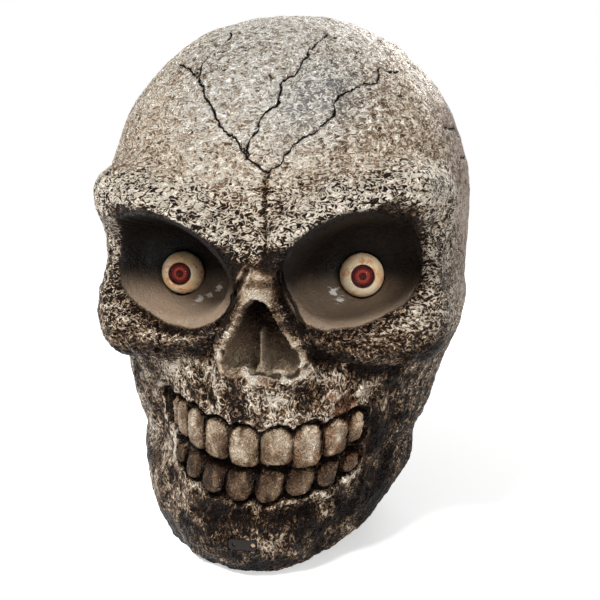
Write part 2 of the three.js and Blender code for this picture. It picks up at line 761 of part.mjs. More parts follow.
function seamBoss([x, z]) {
  const front = seamSetback - seamBossLength;
  const outer = Math.sign(x) * beyond;
  const rib = block([Math.min(x, outer), front, z - ribThickness / 2],
    [Math.max(x, outer), seamSetback, z + ribThickness / 2]);
  return rod("y", bossRadius + ribThickness / 2, front, seamSetback, [x, z]).add(rib);
}

function seamTunnel([x, z]) {
  return rod("y", bossRadius + ribThickness / 2, seamSetback, craniumBack, [x, z]);
}

function seamTunnelBore([x, z]) {
  const seat = seamSetback + seamScrewSeat;
  return rod("y", screwHeadRadius + 2 * screwHoleGap, seat, beyond, [x, z])
    .add(screwHole(bigScrew, "y", seat, -1, [x, z]));
}

function basePost([x, y], ribLow, ribHigh) {
  const low = baseThickness + fitGap;
  return rod("z", bossRadius, low, basePostHeight, [x, y])
    .add(block([...ribLow, low], [...ribHigh, basePostHeight]));
}

function faceShell() {
  const bosses = union([
    ...seamScrews.map(seamBoss),
    ...chassisScrews.map(({ seat, place }) => rod("y", bossRadius, -noseReach, seat - ribThickness - fitGap,
      place)),
    ...frontPosts.map(([x, y]) => basePost([x, y], [x - ribThickness / 2, -beyond],
      [x + ribThickness / 2, y])),
    ...sensorPosts.map((x) => rod("y", sensorPostRadius, -beyond, -bezelBack - fitGap / 2,
      [x, sensorHeight])),
  ]).intersect(trimSpace);
  const pocket = block(
    [sensorX - bezelWidth / 2 - bezelPocketGap, -beyond, sensorHeight - bezelHeight / 2 - bezelPocketGap],
    [sensorX + bezelWidth / 2 + bezelPocketGap, -bezelBack, sensorHeight + bezelHeight / 2 + bezelPocketGap]);
  const bay = block(
    [sensorX - sensorBoardWidth / 2 - fitGap, -bezelBack - fitGap / 2,
      sensorHeight - sensorBoardHeight / 2 - fitGap],
    [sensorX + sensorBoardWidth / 2 + fitGap, -bezelBack + overrun,
      sensorHeight + sensorBoardHeight / 2 + fitGap]);
  const cuts = union([
    pocket, bay,
    ...sides.map(([, side]) => rod("y", ballRadius + ballHoleGap, -noseReach, postSetback,
      [side * eyeX, eyeHeight],
      2 * roundSides)),
    ...seamScrews.map((place) => screwHole(bigScrew, "y", seamSetback + seamScrewSeat, -1, place)),
    ...chassisScrews.map(({ seat, place }) => screwHole(bigScrew, "y", seat, -1, place)),
    ...frontPosts.map((place) => screwHole(bigScrew, "z", baseScrewSeat, 1, place)),
    ...sensorPosts.map((x) => screwHole(smallScrew, "y", -bezelBack + fitGap + boardThickness, -1,
      [x, sensorHeight])),
  ]);
  return wholeShell.add(bosses).intersect(faceSpace).subtract(cuts);
}

// The battery door is a piece of the rear wall on a hinge along its lower edge
const hingePlace = [hingeSetback, doorBottom];
const knuckleEnd = doorHalfWidth - ribThickness;
const knuckleStart = knuckleEnd - hingeKnuckleLength;

function doorSpace(inset) {
  return block([-doorHalfWidth + inset, hingeSetback - doorDepth, doorBottom + inset],
    [doorHalfWidth - inset, beyond, doorTop - inset]);
}

function rearShell() {
  const bosses = union([
    ...seamScrews.map(seamTunnel),
    ...rearPosts.map(([x, y]) => {
      const outer = Math.sign(x) * beyond;
      return basePost([x, y], [Math.min(x, outer), y - ribThickness / 2],
        [Math.max(x, outer), y + ribThickness / 2]);
    }),
  ]).intersect(trimSpace);
  const cuts = union([
    ...seamScrews.map(seamTunnelBore),
    ...rearPosts.map((place) => screwHole(bigScrew, "z", baseScrewSeat, 1, place)),
    doorSpace(0),
    ...sides.map(([, side]) => rod("x", hingeRadius + hingeClearance,
      Math.min(side * (knuckleStart - doorGap), side * (knuckleEnd + doorGap)),
      Math.max(side * (knuckleStart - doorGap), side * (knuckleEnd + doorGap)), hingePlace)),
  ]);
  const knuckle = rod("x", hingeRadius, -knuckleStart + doorGap, knuckleStart - doorGap, hingePlace);
  return wholeShell.add(bosses).intersect(rearSpace).subtract(cuts).add(knuckle)
    .subtract(rod("x", hingePinRadius + runGap, -beyond, beyond, hingePlace));
}

function batteryDoor() {
  const clearance = rod("x", hingeRadius + hingeClearance, -knuckleStart, knuckleStart, hingePlace);
  const panel = wholeShell.intersect(doorSpace(doorGap)).subtract(clearance);
  const knuckles = sides.map(([, side]) => rod("x", hingeRadius,
    Math.min(side * knuckleStart, side * knuckleEnd), Math.max(side * knuckleStart, side * knuckleEnd),
      hingePlace));
  return union([panel, ...knuckles]).subtract(rod("x", hingePinRadius + runGap, -beyond, beyond, hingePlace));
}

function shellMeshes() {
  const screws = seamScrews.map((place, i) =>
    part(`shell_screw_${i + 1}`, screwSolid(bigScrew, "y", seamSetback + seamScrewSeat, -1, place), steel()));
  return [
    part("face_shell", faceShell(), bone()),
    part("rear_shell", rearShell(), bone()),
    part("battery_door", batteryDoor(), bone()),
    part("door_hinge_pin", rod("x", hingePinRadius, -knuckleEnd, knuckleEnd, hingePlace), steel()),
    ...screws,
  ];
}

// Eyeballs: hollow balls open at the back, on an upright axle held by the chassis arm.
// Each is built about its own centre and set in a group that turns it to its gaze.
const irisFront = ballRadius - irisSink + fitGap + irisThickness;
const corneaBack = irisFront + fitGap;

function forwardDisc(radius, from, to) {
  return rod("y", radius, -to, -from, [0, 0], ballSides);
}

function eyeballSolid() {
  const ball = toSolid(new THREE.SphereGeometry(ballRadius, ballSides, ballSides / 2).rotateX(Math.PI / 2));
  const inside = toSolid(new THREE.SphereGeometry(ballRadius - ballWall, roundSides, roundSides / 2)
    .rotateX(Math.PI / 2));
  const pocketFloor = ballRadius - irisSink;
  const cavity = inside.intersect(block([-beyond, -pocketFloor + 2 * ballWall, -beyond],
    [beyond, beyond, beyond]));
  const back = block([-beyond, ballBackCut, -beyond], [beyond, beyond, beyond]);
  const pocketShape = new THREE.CylinderGeometry(irisRadius + fitGap, irisRadius + fitGap,
    irisSink + overrun, ballSides);
  pocketShape.translate(0, -pocketFloor - (irisSink + overrun) / 2, 0).rotateX(-gazeRise * degrees);
  const lever = block([-leverWidth / 2, ballBackCut - leverWidth / 2, -leverDrop - leverThickness],
    [leverWidth / 2, leverRadius + leverWidth / 2, -leverDrop]);
  const peg = rod("z", pegRadius, -barDrop - barThickness - runGap, -leverDrop, [0, leverRadius]);
  const axleHole = rod("z", axleRadius + fitGap / 2, -beyond, beyond, [0, 0]);
  return ball.subtract(cavity).subtract(back).subtract(toSolid(pocketShape)).subtract(axleHole).add(lever)
    .add(peg);
}

function corneaSolid() {
  const steps = 5;
  const edge = corneaBulge / steps;
  const dome = Array.from({ length: steps + 1 }, (_, i) => {
    const turn = (i / steps) * Math.PI / 2;
    return [irisRadius * Math.cos(turn), corneaBack + edge + (corneaBulge - edge) * Math.sin(turn)];
  });
  dome[steps][0] = 0;
  const points = [[0, corneaBack], [irisRadius, corneaBack], ...dome]
    .map(([r, h]) => new THREE.Vector2(r, h));
  return toSolid(new THREE.LatheGeometry(points, ballSides).rotateX(Math.PI));
}

function eyeGroup(name, side) {
  const eye = new THREE.Group();
  eye.position.set(side * eyeX, 0, eyeHeight);
  eye.rotation.z = restGaze * degrees;
  const gaze = new THREE.Group();
  gaze.rotation.x = -gazeRise * degrees;
  gaze.add(part(`${name}_iris`, forwardDisc(irisRadius, irisFront - irisThickness, irisFront),
    finish("#7a1f14", 0.4)));
  gaze.add(part(`${name}_cornea`, corneaSolid(), finish("#3a1512", 0.08)));
  eye.add(part(`${name}_eyeball`, eyeballSolid(), finish("#d9c9a0", 0.35)));
  eye.add(part(`${name}_eye_axle`,
    rod("z", axleRadius, -ballRadius + fitGap, ballRadius - fitGap, [0, 0]), steel()));
  eye.add(gaze);
  return eye;
}

// Chassis: a moulded tray behind the eye sockets
const crankSetback = 2 * leverRadius;
const gearDistance = gearModule * (sectorTeeth + pinionTeeth) / 2;
const motorDistance = gearModule * (wheelTeeth + pinionTeeth) / 2;
const motorX = gearDistance + motorDistance;
const chassisTop = -chassisDrop;
const chassisBottom = chassisTop - chassisThickness;
const sectorTop = chassisBottom - gearLayerGap;
const sectorBottom = sectorTop - gearThickness;
const wheelTop = sectorBottom - gearLayerGap;
const wheelBottom = wheelTop - gearThickness;
const coverFloor = wheelBottom - coverClearance;
const coverBottom = coverFloor - coverWall;
const coverLow = [-gearDistance - coverClearance, crankSetback - gearDistance - coverClearance];
const coverHigh = [motorX + gearModule * pinionTeeth, crankSetback + gearDistance + coverClearance];
const flangeWidth = 2 * bossRadius;
const coverScrews = [[coverLow[0] - flangeWidth / 2, crankSetback],
  [coverHigh[0] + flangeWidth / 2, crankSetback]];

function eyeArm(side) {
  const x = side * eyeX;
  const half = armWidth / 2;
  const post = block([x - half, postSetback, chassisBottom], [x + half, postSetback + postDepth, half]);
  const arm = block([x - half, 0, -half], [x + half, postSetback + postDepth, half]);
  const barrel = rod("z", barrelRadius, -barrelHeight / 2, barrelHeight / 2, [x, 0]);
  return union([post, arm, barrel]);
}

function barGuide(x) {
  const low = -barDrop - barThickness - runGap;
  const outer = block([x - guideLength / 2, barFront - runGap - guideWall, chassisBottom],
    [x + guideLength / 2, barBack + runGap + guideWall, -barDrop + guideWall]);
  return outer.subtract(block([-beyond, barFront - runGap, low], [beyond, barBack + runGap, beyond]));
}

function chassis() {
  const half = strutWidth / 2;
  const solid = union([
    block([-chassisHalfWidth, chassisFront, chassisBottom], [chassisHalfWidth, chassisBack, chassisTop]),
    ...sides.map(([, side]) => eyeArm(side)),
    ...sides.map(([, side]) => barGuide(side * guideSpacing / 2)),
    ...sides.map(([, side]) => block([side * strutSpacing / 2 - half, postSetback, chassisBottom],
      [side * strutSpacing / 2 + half, strutBack, strutHeight])),
    ...sides.map(([, side]) => block([side * tabX - tabWidth / 2, chassisFront, -tabDrop],
      [side * tabX + tabWidth / 2, chassisFront + ribThickness, chassisTop])),
    rod("z", motorRadius + fitGap + coverWall, chassisBottom, chassisTop + ribThickness,
      [motorX, crankSetback]),
  ]);
  const cuts = union([
    ...sides.map(([, side]) => rod("z", axleRadius + runGap, -barrelHeight, barrelHeight, [side * eyeX, 0])),
    ...chassisScrews.map(({ seat, place: [x, z] }) => screwHole(bigScrew, "y", seat, -1, [x, z - eyeHeight])),
    rod("z", crankShaftRadius + runGap, chassisBottom - overrun, chassisTop + overrun, [0, crankSetback]),
    rod("z", gearPinRadius + screwHoleGap, chassisBottom - overrun, chassisTop + overrun,
      [gearDistance, crankSetback]),
    rod("z", crankShaftRadius, chassisBottom - overrun, chassisTop + overrun, [motorX, crankSetback]),
    rod("z", motorRadius + fitGap, chassisTop, beyond, [motorX, crankSetback], 2 * roundSides),
    ...coverScrews.map((place) => screwHole(smallScrew, "z", chassisBottom - coverWall, 1, place)),
  ]);
  return solid.subtract(cuts);
}

// Tie bar: slides across and turns both eyes together
const barShift = -leverRadius * Math.sin(restGaze * degrees);

function tieBar() {
  const reach = pegRadius + runGap;
  const arcDepth = leverRadius * (1 - Math.cos(gazeSwing * degrees));
  const slot = (x, low, high) => block([x - reach, low - reach, -beyond], [x + reach, high + reach, beyond]);
  return block([-barHalfLength, barFront, -barDrop - barThickness], [barHalfLength, barBack, -barDrop])
    .subtract(slot(eyeX, leverRadius - arcDepth, leverRadius))
    .subtract(slot(-eyeX, leverRadius - arcDepth, leverRadius))
    .subtract(slot(0, leverRadius, leverRadius + arcDepth));
}

// Gears: involute flanks, thinned by the backlash
const pressureAngle = 20 * degrees;
const involute = (angle) => Math.tan(angle) - angle;

function toothPoints(teeth, centre) {
  const pitch = gearModule * teeth / 2;
  const base = pitch * Math.cos(pressureAngle);
  const half = Math.PI / (2 * teeth) - gearBacklash / (2 * pitch) + involute(pressureAngle);
  const radii = [pitch - gearRootShare * gearModule, pitch, pitch + gearTipShare * gearModule];
  const flank = radii.map((radius) => {
    const turn = radius > base ? half - involute(Math.acos(base / radius)) : half;
    return [radius, turn];
  });
  return [...flank.map(([radius, turn]) => [radius, centre - turn]),
    ...flank.reverse().map(([radius, turn]) => [radius, centre + turn])]
    .map(([radius, turn]) => [radius * Math.cos(turn), radius * Math.sin(turn)]);
}

function gear(teeth, phase, from, to) {
  const points = Array.from({ length: teeth }, (_, i) => toothPoints(teeth,
    phase + (i / teeth) * 2 * Math.PI));
  return prism(points.flat(), from, to);
}

function crankSolid() {
  const pitchTurn = 2 * Math.PI / sectorTeeth;
  const count = Math.floor(sectorSpan * degrees / pitchTurn);
  const first = restGaze * degrees - Math.floor(count / 2) * pitchTurn;
  const teeth = Array.from({ length: count }, (_, i) => toothPoints(sectorTeeth, first + i * pitchTurn))
    .flat();
  const half = leverWidth / 2;
  const armTop = -barDrop - barThickness - runGap;
  return union([
    prism([[-crankShaftRadius, 0], ...teeth], sectorBottom, sectorTop),
    rod("z", crankShaftRadius, sectorBottom, armTop, [0, 0]),
    rod("z", crankShaftRadius / 2, coverBottom, sectorTop, [0, 0]),
    block([-half, -leverRadius - half, chassisTop + runGap], [half, 0, armTop]),
    rod("z", pegRadius, chassisTop + runGap, -barDrop, [0, -leverRadius]),
  ]);
}

const halfStep = Math.PI / pinionTeeth;

function compoundGearSolid() {
  return gear(pinionTeeth, halfStep, wheelTop, sectorTop)
    .add(gear(wheelTeeth, 0, wheelBottom, wheelTop))
    .subtract(rod("z", gearPinRadius + runGap, -beyond, beyond, [0, 0]));
}

function gearCover() {
  const top = chassisBottom - fitGap;
  const walls = block([...coverLow, coverBottom], [...coverHigh, top])
    .subtract(block([...coverLow.map((v) => v + coverWall), coverFloor],
      [...coverHigh.map((v) => v - coverWall), beyond]));
  const flanges = coverScrews.map(([x, y]) => block([x - flangeWidth / 2 - coverWall, y - flangeWidth / 2,
    top - 2 * coverWall],
    [x + flangeWidth / 2 + coverWall, y + flangeWidth / 2, top]));
  const hollowSpace = block([...coverLow.map((v) => v + coverWall), coverFloor],
    [...coverHigh.map((v) => v - coverWall), beyond]);
  return union([walls, ...flanges]).subtract(union([
    hollowSpace,
    rod("z", crankShaftRadius / 2 + runGap, -beyond, 0, [0, crankSetback]),
    rod("z", gearPinRadius + screwHoleGap, -beyond, 0, [gearDistance, crankSetback]),
    ...coverScrews.map((place) => rod("z", smallScrewShankRadius + screwHoleGap, -beyond, 0, place)),
  ]));
}

function driveGroup() {
  const drive = new THREE.Group();
  drive.position.z = eyeHeight;
  const bar = part("tie_bar", tieBar(), whitePlastic());
  bar.position.x = barShift;
  const crank = part("crank_gear", crankSolid(), whitePlastic());
  crank.position.y = crankSetback;
  crank.rotation.z = -restGaze * degrees;
  const compound = part("compound_gear", compoundGearSolid(), whitePlastic());
  compound.position.set(gearDistance, crankSetback, 0);
  const pinion = part("motor_pinion", gear(pinionTeeth, halfStep, wheelBottom, wheelTop)
    .add(rod("z", motorShaftRadius, wheelBottom, chassisTop + motorRadius, [0, 0])), steel());
  pinion.position.set(motorX, crankSetback, 0);
  const motorFloor = chassisTop + fitGap;
  const motor = rod("z", motorRadius, motorFloor, motorFloor + motorLength, [motorX, crankSetback],
    2 * roundSides)
    .add(rod("z", motorRadius / 3, motorFloor, motorFloor + motorLength + 2 * fitGap, [motorX, crankSetback]))
    .subtract(rod("z", motorShaftRadius + runGap, -beyond, chassisTop + motorRadius + fitGap,
      [motorX, crankSetback]));
  drive.add(part("eye_chassis", chassis(), greyPlastic()), bar, crank, compound, pinion);
  drive.add(part("eye_motor", motor, steel()));
  drive.add(part("gear_pin", rod("z", gearPinRadius, coverBottom, chassisTop, [gearDistance, crankSetback]),
    steel()));
  drive.add(part("gear_cover", gearCover(), greyPlastic()));
  coverScrews.forEach((place, i) => drive.add(part(`cover_screw_${i + 1}`,
    screwSolid(smallScrew, "z", chassisBottom - fitGap - 2 * coverWall, 1, place), steel())));
  return drive;
}

function chassisScrewMeshes() {
  return chassisScrews.map(({ seat, place }, i) =>
    part(`chassis_screw_${i + 1}`, screwSolid(bigScrew, "y", seat, -1, place), steel()));
}

// Motion sensor behind a small two-hole plate in the chin
function roundedPlate(width, height, corner, from, to, x, z) {
  const [right, top] = [width / 2, height / 2];
  const shape = new THREE.Shape();
  shape.moveTo(-right + corner, -top);
  shape.absarc(right - corner, -top + corner, corner, -Math.PI / 2, 0);
  shape.absarc(right - corner, top - corner, corner, 0, Math.PI / 2);
  shape.absarc(-right + corner, top - corner, corner, Math.PI / 2, Math.PI);
  shape.absarc(-right + corner, -top + corner, corner, Math.PI, Math.PI * 3 / 2);
  const geometry = new THREE.ExtrudeGeometry(shape,
    { depth: to - from, bevelEnabled: false, curveSegments: 4 });
  geometry.rotateX(Math.PI / 2);
  geometry.translate(x, to, z);
  return toSolid(geometry);
}

const sensorBoardFront = -bezelBack + fitGap / 2;

function sensorMeshes() {
  const plate = roundedPlate(bezelWidth, bezelHeight, bezelCorner, -bezelFront, -bezelFront + bezelThickness,
    sensorX, sensorHeight);
  const body = block([sensorX - bezelBodyWidth / 2, -bezelFront, sensorHeight - bezelBodyHeight / 2],
    [sensorX + bezelBodyWidth / 2, -bezelBack - fitGap / 2, sensorHeight + bezelBodyHeight / 2]);
  const bezel = plate.add(body.intersect(block([-beyond, -bezelFront + bezelThickness / 2, 0],
    [beyond, beyond, beyond])))
    .subtract(union(lampPlaces.map((x) => rod("y", lampRadius + screwHoleGap, -beyond, 0,
      [x, sensorHeight]))));
  const lampFront = -bezelFront + lampSink;
  const [eyeLens, lamp] = lampPlaces.map((x) => rod("y", lampRadius, lampFront, sensorBoardFront - fitGap,
    [x, sensorHeight]));
  const board = block([sensorX - sensorBoardWidth / 2, sensorBoardFront,
    sensorHeight - sensorBoardHeight / 2],
    [sensorX + sensorBoardWidth / 2, sensorBoardFront + boardThickness, sensorHeight + sensorBoardHeight / 2])
    .subtract(union(sensorPosts.map((x) => rod("y", smallScrewShankRadius + screwHoleGap, -beyond, 0,
      [x, sensorHeight]))));
  return [
    part("sensor_bezel", bezel, blackPlastic()),
    part("motion_sensor", eyeLens, finish("#0d0d10", 0.15)),
    part("sensor_lamp", lamp, finish("#d8d2c4", 0.2)),
    part("sensor_board", board, finish("#2f5a3a", 0.5)),
    ...sensorPosts.map((x, i) => part(`sensor_screw_${i + 1}`,
      screwSolid(smallScrew, "y", sensorBoardFront + boardThickness, -1, [x, sensorHeight]), steel())),
  ];
}

// Base plate with speaker grille, switch slot, board rails and battery box pads
const boxBottom = baseThickness + boxLift + fitGap;
const boxBack = boxFront + boxWall + 2 * (cellRadius + fitGap);
const boxTop = boxBottom + 2 * boxWall + cellCount * cellPitch;
const boxScrews = sides.map(([, side]) => [side * boxHalfWidth * 2 / 3, boxFront - bossRadius]);
const boardBottom = baseThickness + boardLift;
const boardTop = boardBottom + boardHeight;
const knobStart = switchX - (knobLength + switchTravel) / 2;

function boardRail(side) {
  const edge = boardWidth / 2;
  const inner = edge - railWidth / 2;
  const outer = edge + railWidth / 2;
  const [low, high] = [Math.min(side * inner, side * outer), Math.max(side * inner, side * outer)];
  return block([low, boardSetback - railDepth / 2, baseThickness / 2],
    [high, boardSetback + railDepth / 2, baseThickness + railHeight]);
}

function basePlate() {
  const boardHalf = boardThickness / 2 + fitGap;
  const slab = plateSkin.intersect(block([-beyond, -beyond, 0], [beyond, beyond, baseThickness]));
  const pads = sides.map(([, side]) => {
    const [low, high] = [side * boxHalfWidth / 3, side * boxHalfWidth].sort((a, b) => a - b);
    return block([low, boxFront - 2 * bossRadius, baseThickness / 2],
      [high, boxBack, baseThickness + boxLift]);
  });
  const holes = Array.from({ length: grilleHoleCount }, (_, i) => {
    const turn = (i / grilleHoleCount) * 2 * Math.PI;
    return rod("z", grilleHoleRadius, -overrun, baseThickness + overrun,
      [grilleRing * Math.cos(turn), speakerSetback + grilleRing * Math.sin(turn)], roundSides / 2);
  });
  const boardSlot = block([-boardWidth / 2 - fitGap, boardSetback - boardHalf, baseThickness + fitGap],
    [boardWidth / 2 + fitGap, boardSetback + boardHalf, beyond]);
  const switchSlot = block([knobStart - runGap, switchSetback - knobWidth / 2 - runGap, -overrun],
    [knobStart + knobLength + switchTravel + runGap, switchSetback + knobWidth / 2 + runGap,
      baseThickness + overrun]);
  const screwSpaces = [...frontPosts, ...rearPosts].flatMap((place) => [
    screwHole(bigScrew, "z", baseScrewSeat, 1, place),
    rod("z", screwHeadRadius + screwHoleGap, -overrun, baseScrewSeat, place),
  ]);
  return union([slab, ...pads, ...sides.map(([, side]) => boardRail(side))]).subtract(union([
    ...holes, boardSlot, switchSlot, ...screwSpaces,
    ...boxScrews.map((place) => screwHole(smallScrew, "z", boxBottom + boxWall, -1, place)),
  ]));
}

function baseMeshes() {
  const screws = [...frontPosts, ...rearPosts].map((place, i) =>
    part(`base_screw_${i + 1}`, screwSolid(bigScrew, "z", baseScrewSeat, 1, place), steel()));
  return [part("base_plate", basePlate(), blackPlastic()), ...screws];
}

// Battery box, open to the rear behind the door, with three cells and two contact strips
function cellHeight(i) {
  return boxBottom + boxWall + (i + 1 / 2) * cellPitch;
}

const cellSetback = boxFront + boxWall + fitGap + cellRadius;

function batteryBox() {
  const outer = block([-boxHalfWidth, boxFront, boxBottom], [boxHalfWidth, boxBack, boxTop]);
  const inner = block([-boxHalfWidth + boxWall, boxFront + boxWall, boxBottom + boxWall],
    [boxHalfWidth - boxWall, beyond, boxTop - boxWall]);
  const ears = boxScrews.map(([x, y]) => block([x - bossRadius, y - bossRadius, boxBottom],
    [x + bossRadius, boxFront + boxWall / 2, boxBottom + boxWall]));
  return union([outer, ...ears]).subtract(union([
    inner, ...boxScrews.map((place) => screwHole(smallScrew, "z", boxBottom + boxWall, -1, place)),
  ]));
}

function contactStrip(side) {
  const outer = boxHalfWidth - boxWall - fitGap;
  const inner = outer - contactThickness;
  const half = contactWidth / 2;
  const plate = block([inner, cellSetback - half, cellHeight(0) - half], [outer, cellSetback + half,
    cellHeight(cellCount - 1) + half]);
  const bumps = Array.from({ length: cellCount }, (_, i) => {
    const onNub = (i % 2 === 0) === (side > 0);
    const tip = cellLength / 2 + (onNub ? cellNubLength : 0) + fitGap;
    return rod("x", cellNubRadius, tip, outer, [cellSetback, cellHeight(i)], roundSides / 2,
      cellNubRadius * 2);
  });
  const strip = union([plate, ...bumps]);
  return side > 0 ? strip : strip.mirror([1, 0, 0]);
}

function cellSolid(i) {
  const nub = i % 2 === 0 ? 1 : -1;
  const half = cellLength / 2;
  const place = [cellSetback, cellHeight(i)];
  return rod("x", cellRadius, -half, half, place)
    .add(rod("x", cellNubRadius, Math.min(0, nub * (half + cellNubLength)),
      Math.max(0, nub * (half + cellNubLength)), place));
}

function batteryMeshes() {
  return [
    part("battery_box", batteryBox(), blackPlastic()),
    ...Array.from({ length: cellCount }, (_, i) => part(`battery_${i + 1}`, cellSolid(i),
      finish("#3f6b45", 0.4))),
    part("contact_strip_left", contactStrip(1), steel()),
    part("contact_strip_right", contactStrip(-1), steel()),
    ...boxScrews.map((place, i) => part(`box_screw_${i + 1}`,
      screwSolid(smallScrew, "z", boxBottom + boxWall, -1, place), steel())),
  ];
}

// Speaker over the grille, control board in its rails and slide switch
function speakerSolid() {
  const low = baseThickness + fitGap;
  const high = low + speakerHeight;
  const neck = low + speakerHeight / 2;
  const profile = [[0, low + speakerRim * 2], [magnetRadius, low + speakerRim],
    [speakerRadius - speakerRim, low],
    [speakerRadius, low], [speakerRadius, low + speakerRim], [magnetRadius, neck], [magnetRadius, high],
    [0, high]];
  const points = profile.map(([radius, height]) => new THREE.Vector2(radius, height));
  return toSolid(new THREE.LatheGeometry(points, 24).rotateX(Math.PI / 2).translate(0, speakerSetback, 0));
}

function controlBoard() {
  const half = boardThickness / 2;
  const front = boardSetback - half;
  const chip = block([-chipSize / 2, front - chipThickness, boardBottom + boardHeight / 2],
    [chipSize / 2, boardSetback, boardBottom + boardHeight / 2 + chipSize]);
  const caps = sides.map(([, side]) => rod("y", capRadius, front - capHeight, boardSetback,
    [side * (chipSize + capRadius), boardTop - 2 * capRadius]));
  return union([block([-boardWidth / 2, boardSetback - half, boardBottom],
    [boardWidth / 2, boardSetback + half, boardTop]),
    chip, ...caps]);
}

const switchFloor = baseThickness + fitGap;
const flangeLift = switchFloor + knobLift + fitGap;

function switchBody() {
  const [low, high] = [knobStart - runGap, knobStart + knobLength + switchTravel + runGap];
  const half = knobWidth / 2 + runGap;
  const body = block([switchX - switchLength / 2, switchSetback - switchWidth / 2, switchFloor],
    [switchX + switchLength / 2, switchSetback + switchWidth / 2, switchFloor + switchHeight]);
  return body.subtract(block([low, switchSetback - half, -overrun],
    [high, switchSetback + half, switchFloor + switchHeight / 2]))
    .subtract(block([low - knobLift, switchSetback - half - knobLift, flangeLift - fitGap],
      [high + knobLift, switchSetback + half + knobLift, switchFloor + switchHeight * 2 / 3 + runGap]));
}

function switchSlider() {
  const half = knobWidth / 2;
  const top = switchFloor + switchHeight * 2 / 3;
  return block([knobStart, switchSetback - half, knobLift],
    [knobStart + knobLength, switchSetback + half, top])
    .add(block([knobStart - knobLift, switchSetback - half - knobLift, flangeLift],
      [knobStart + knobLength + knobLift, switchSetback + half + knobLift, top]));
}

function electricMeshes() {
  return [
    part("speaker", speakerSolid(), blackPlastic()),
    part("control_board", controlBoard(), finish("#2f5a3a", 0.5)),
    part("power_switch", switchBody(), blackPlastic()),
    part("switch_slider", switchSlider(), greyPlastic()),
  ];
}

// Leads: thin insulated wires between the board and what it drives
function lead(name, points, color, steps) {
  const path = new THREE.CatmullRomCurve3(points.map((place) => new THREE.Vector3(...place)));
  const round = Array.from({ length: leadSides }, (_, i) => {
    const turn = (i / leadSides) * 2 * Math.PI;
    return new THREE.Vector2(leadRadius * Math.cos(turn), leadRadius * Math.sin(turn));
  });
  const geometry = new THREE.ExtrudeGeometry(new THREE.Shape(round),
    { steps, extrudePath: path, bevelEnabled: false });
  return part(name, toSolid(geometry), finish(color, 0.5));
}

function leadMeshes() {
  const overBoard = boardTop + fitGap;
  const motorTop = eyeHeight + chassisTop + motorLength + 4 * fitGap;
  const sensorBack = sensorBoardFront + boardThickness + fitGap;
  const speakerTop = baseThickness + speakerHeight + 2 * fitGap;
  const boardQuarter = boardWidth / 4;
  const boardBack = boardSetback + boardThickness / 2 + 2 * fitGap;
  const boardFront = boardSetback - boardThickness / 2 - fitGap;
  const behindChassis = chassisBack + 4 * leadRadius;
  const switchTop = switchFloor + switchHeight + fitGap;
  return [
    lead("motor_lead", [[motorX, crankSetback, motorTop], [motorX, crankSetback, motorTop + 4 * leadRadius],
      [motorX, (crankSetback + behindChassis) / 2, motorTop + 8 * leadRadius],
      [motorX, behindChassis, eyeHeight],
      [motorX, behindChassis, eyeHeight + 2 * chassisBottom],
      [boardQuarter, boardSetback, boardTop + boardHeight],
      [boardQuarter, boardSetback, overBoard + 4 * leadRadius], [boardQuarter, boardSetback, overBoard]],
    "#8a1c1c", 30),
    lead("sensor_lead", [[sensorX, sensorBack, sensorHeight],
      [sensorX, sensorBack + 4 * leadRadius, sensorHeight],
      [-speakerRadius, speakerSetback - speakerRadius, 2 * sensorHeight],
      [-boardQuarter, speakerSetback + speakerRadius, boardTop + boardHeight / 2],
      [-boardQuarter, boardSetback, overBoard + 4 * leadRadius], [-boardQuarter, boardSetback, overBoard]],
    "#c9b53a", 24),
    lead("speaker_lead", [[0, speakerSetback, speakerTop], [0, speakerSetback, speakerTop + 4 * leadRadius],
      [0, (speakerSetback + boardSetback) / 2, boardTop + boardHeight / 4],
      [0, boardSetback, overBoard + 4 * leadRadius], [0, boardSetback, overBoard]], "#1d1d1f", 14),
    lead("switch_lead", [[switchX, switchSetback, switchTop],
      [switchX, switchSetback, switchTop + 3 * leadRadius],
      [boardWidth / 2 - railWidth, boardFront - 3 * leadRadius, boardBottom + boardHeight / 2],
      [boardWidth / 2 - railWidth, boardFront, boardBottom + boardHeight / 2]], "#8a1c1c", 10),
    lead("battery_lead", [[0, boxFront - 2 * fitGap, boardTop - capRadius],
      [0, boxFront - 3 * leadRadius, boardTop - capRadius],
      [0, boardBack + 3 * leadRadius, boardTop - capRadius],
      [0, boardBack, boardTop - capRadius]], "#1d1d1f", 6),
  ];
}

const skull = new THREE.Group();
skull.position.y = (browReach - craniumBack) / 2;
skull.add(...shellMeshes(), ...sides.map(([name, side]) => eyeGroup(name, side)), driveGroup(),
  ...chassisScrewMeshes(), ...sensorMeshes(), ...baseMeshes(), ...batteryMeshes(), ...electricMeshes(),
    ...leadMeshes());

export default skull;
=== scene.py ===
import bpy
import numpy as np
from mathutils import Matrix, Vector, kdtree


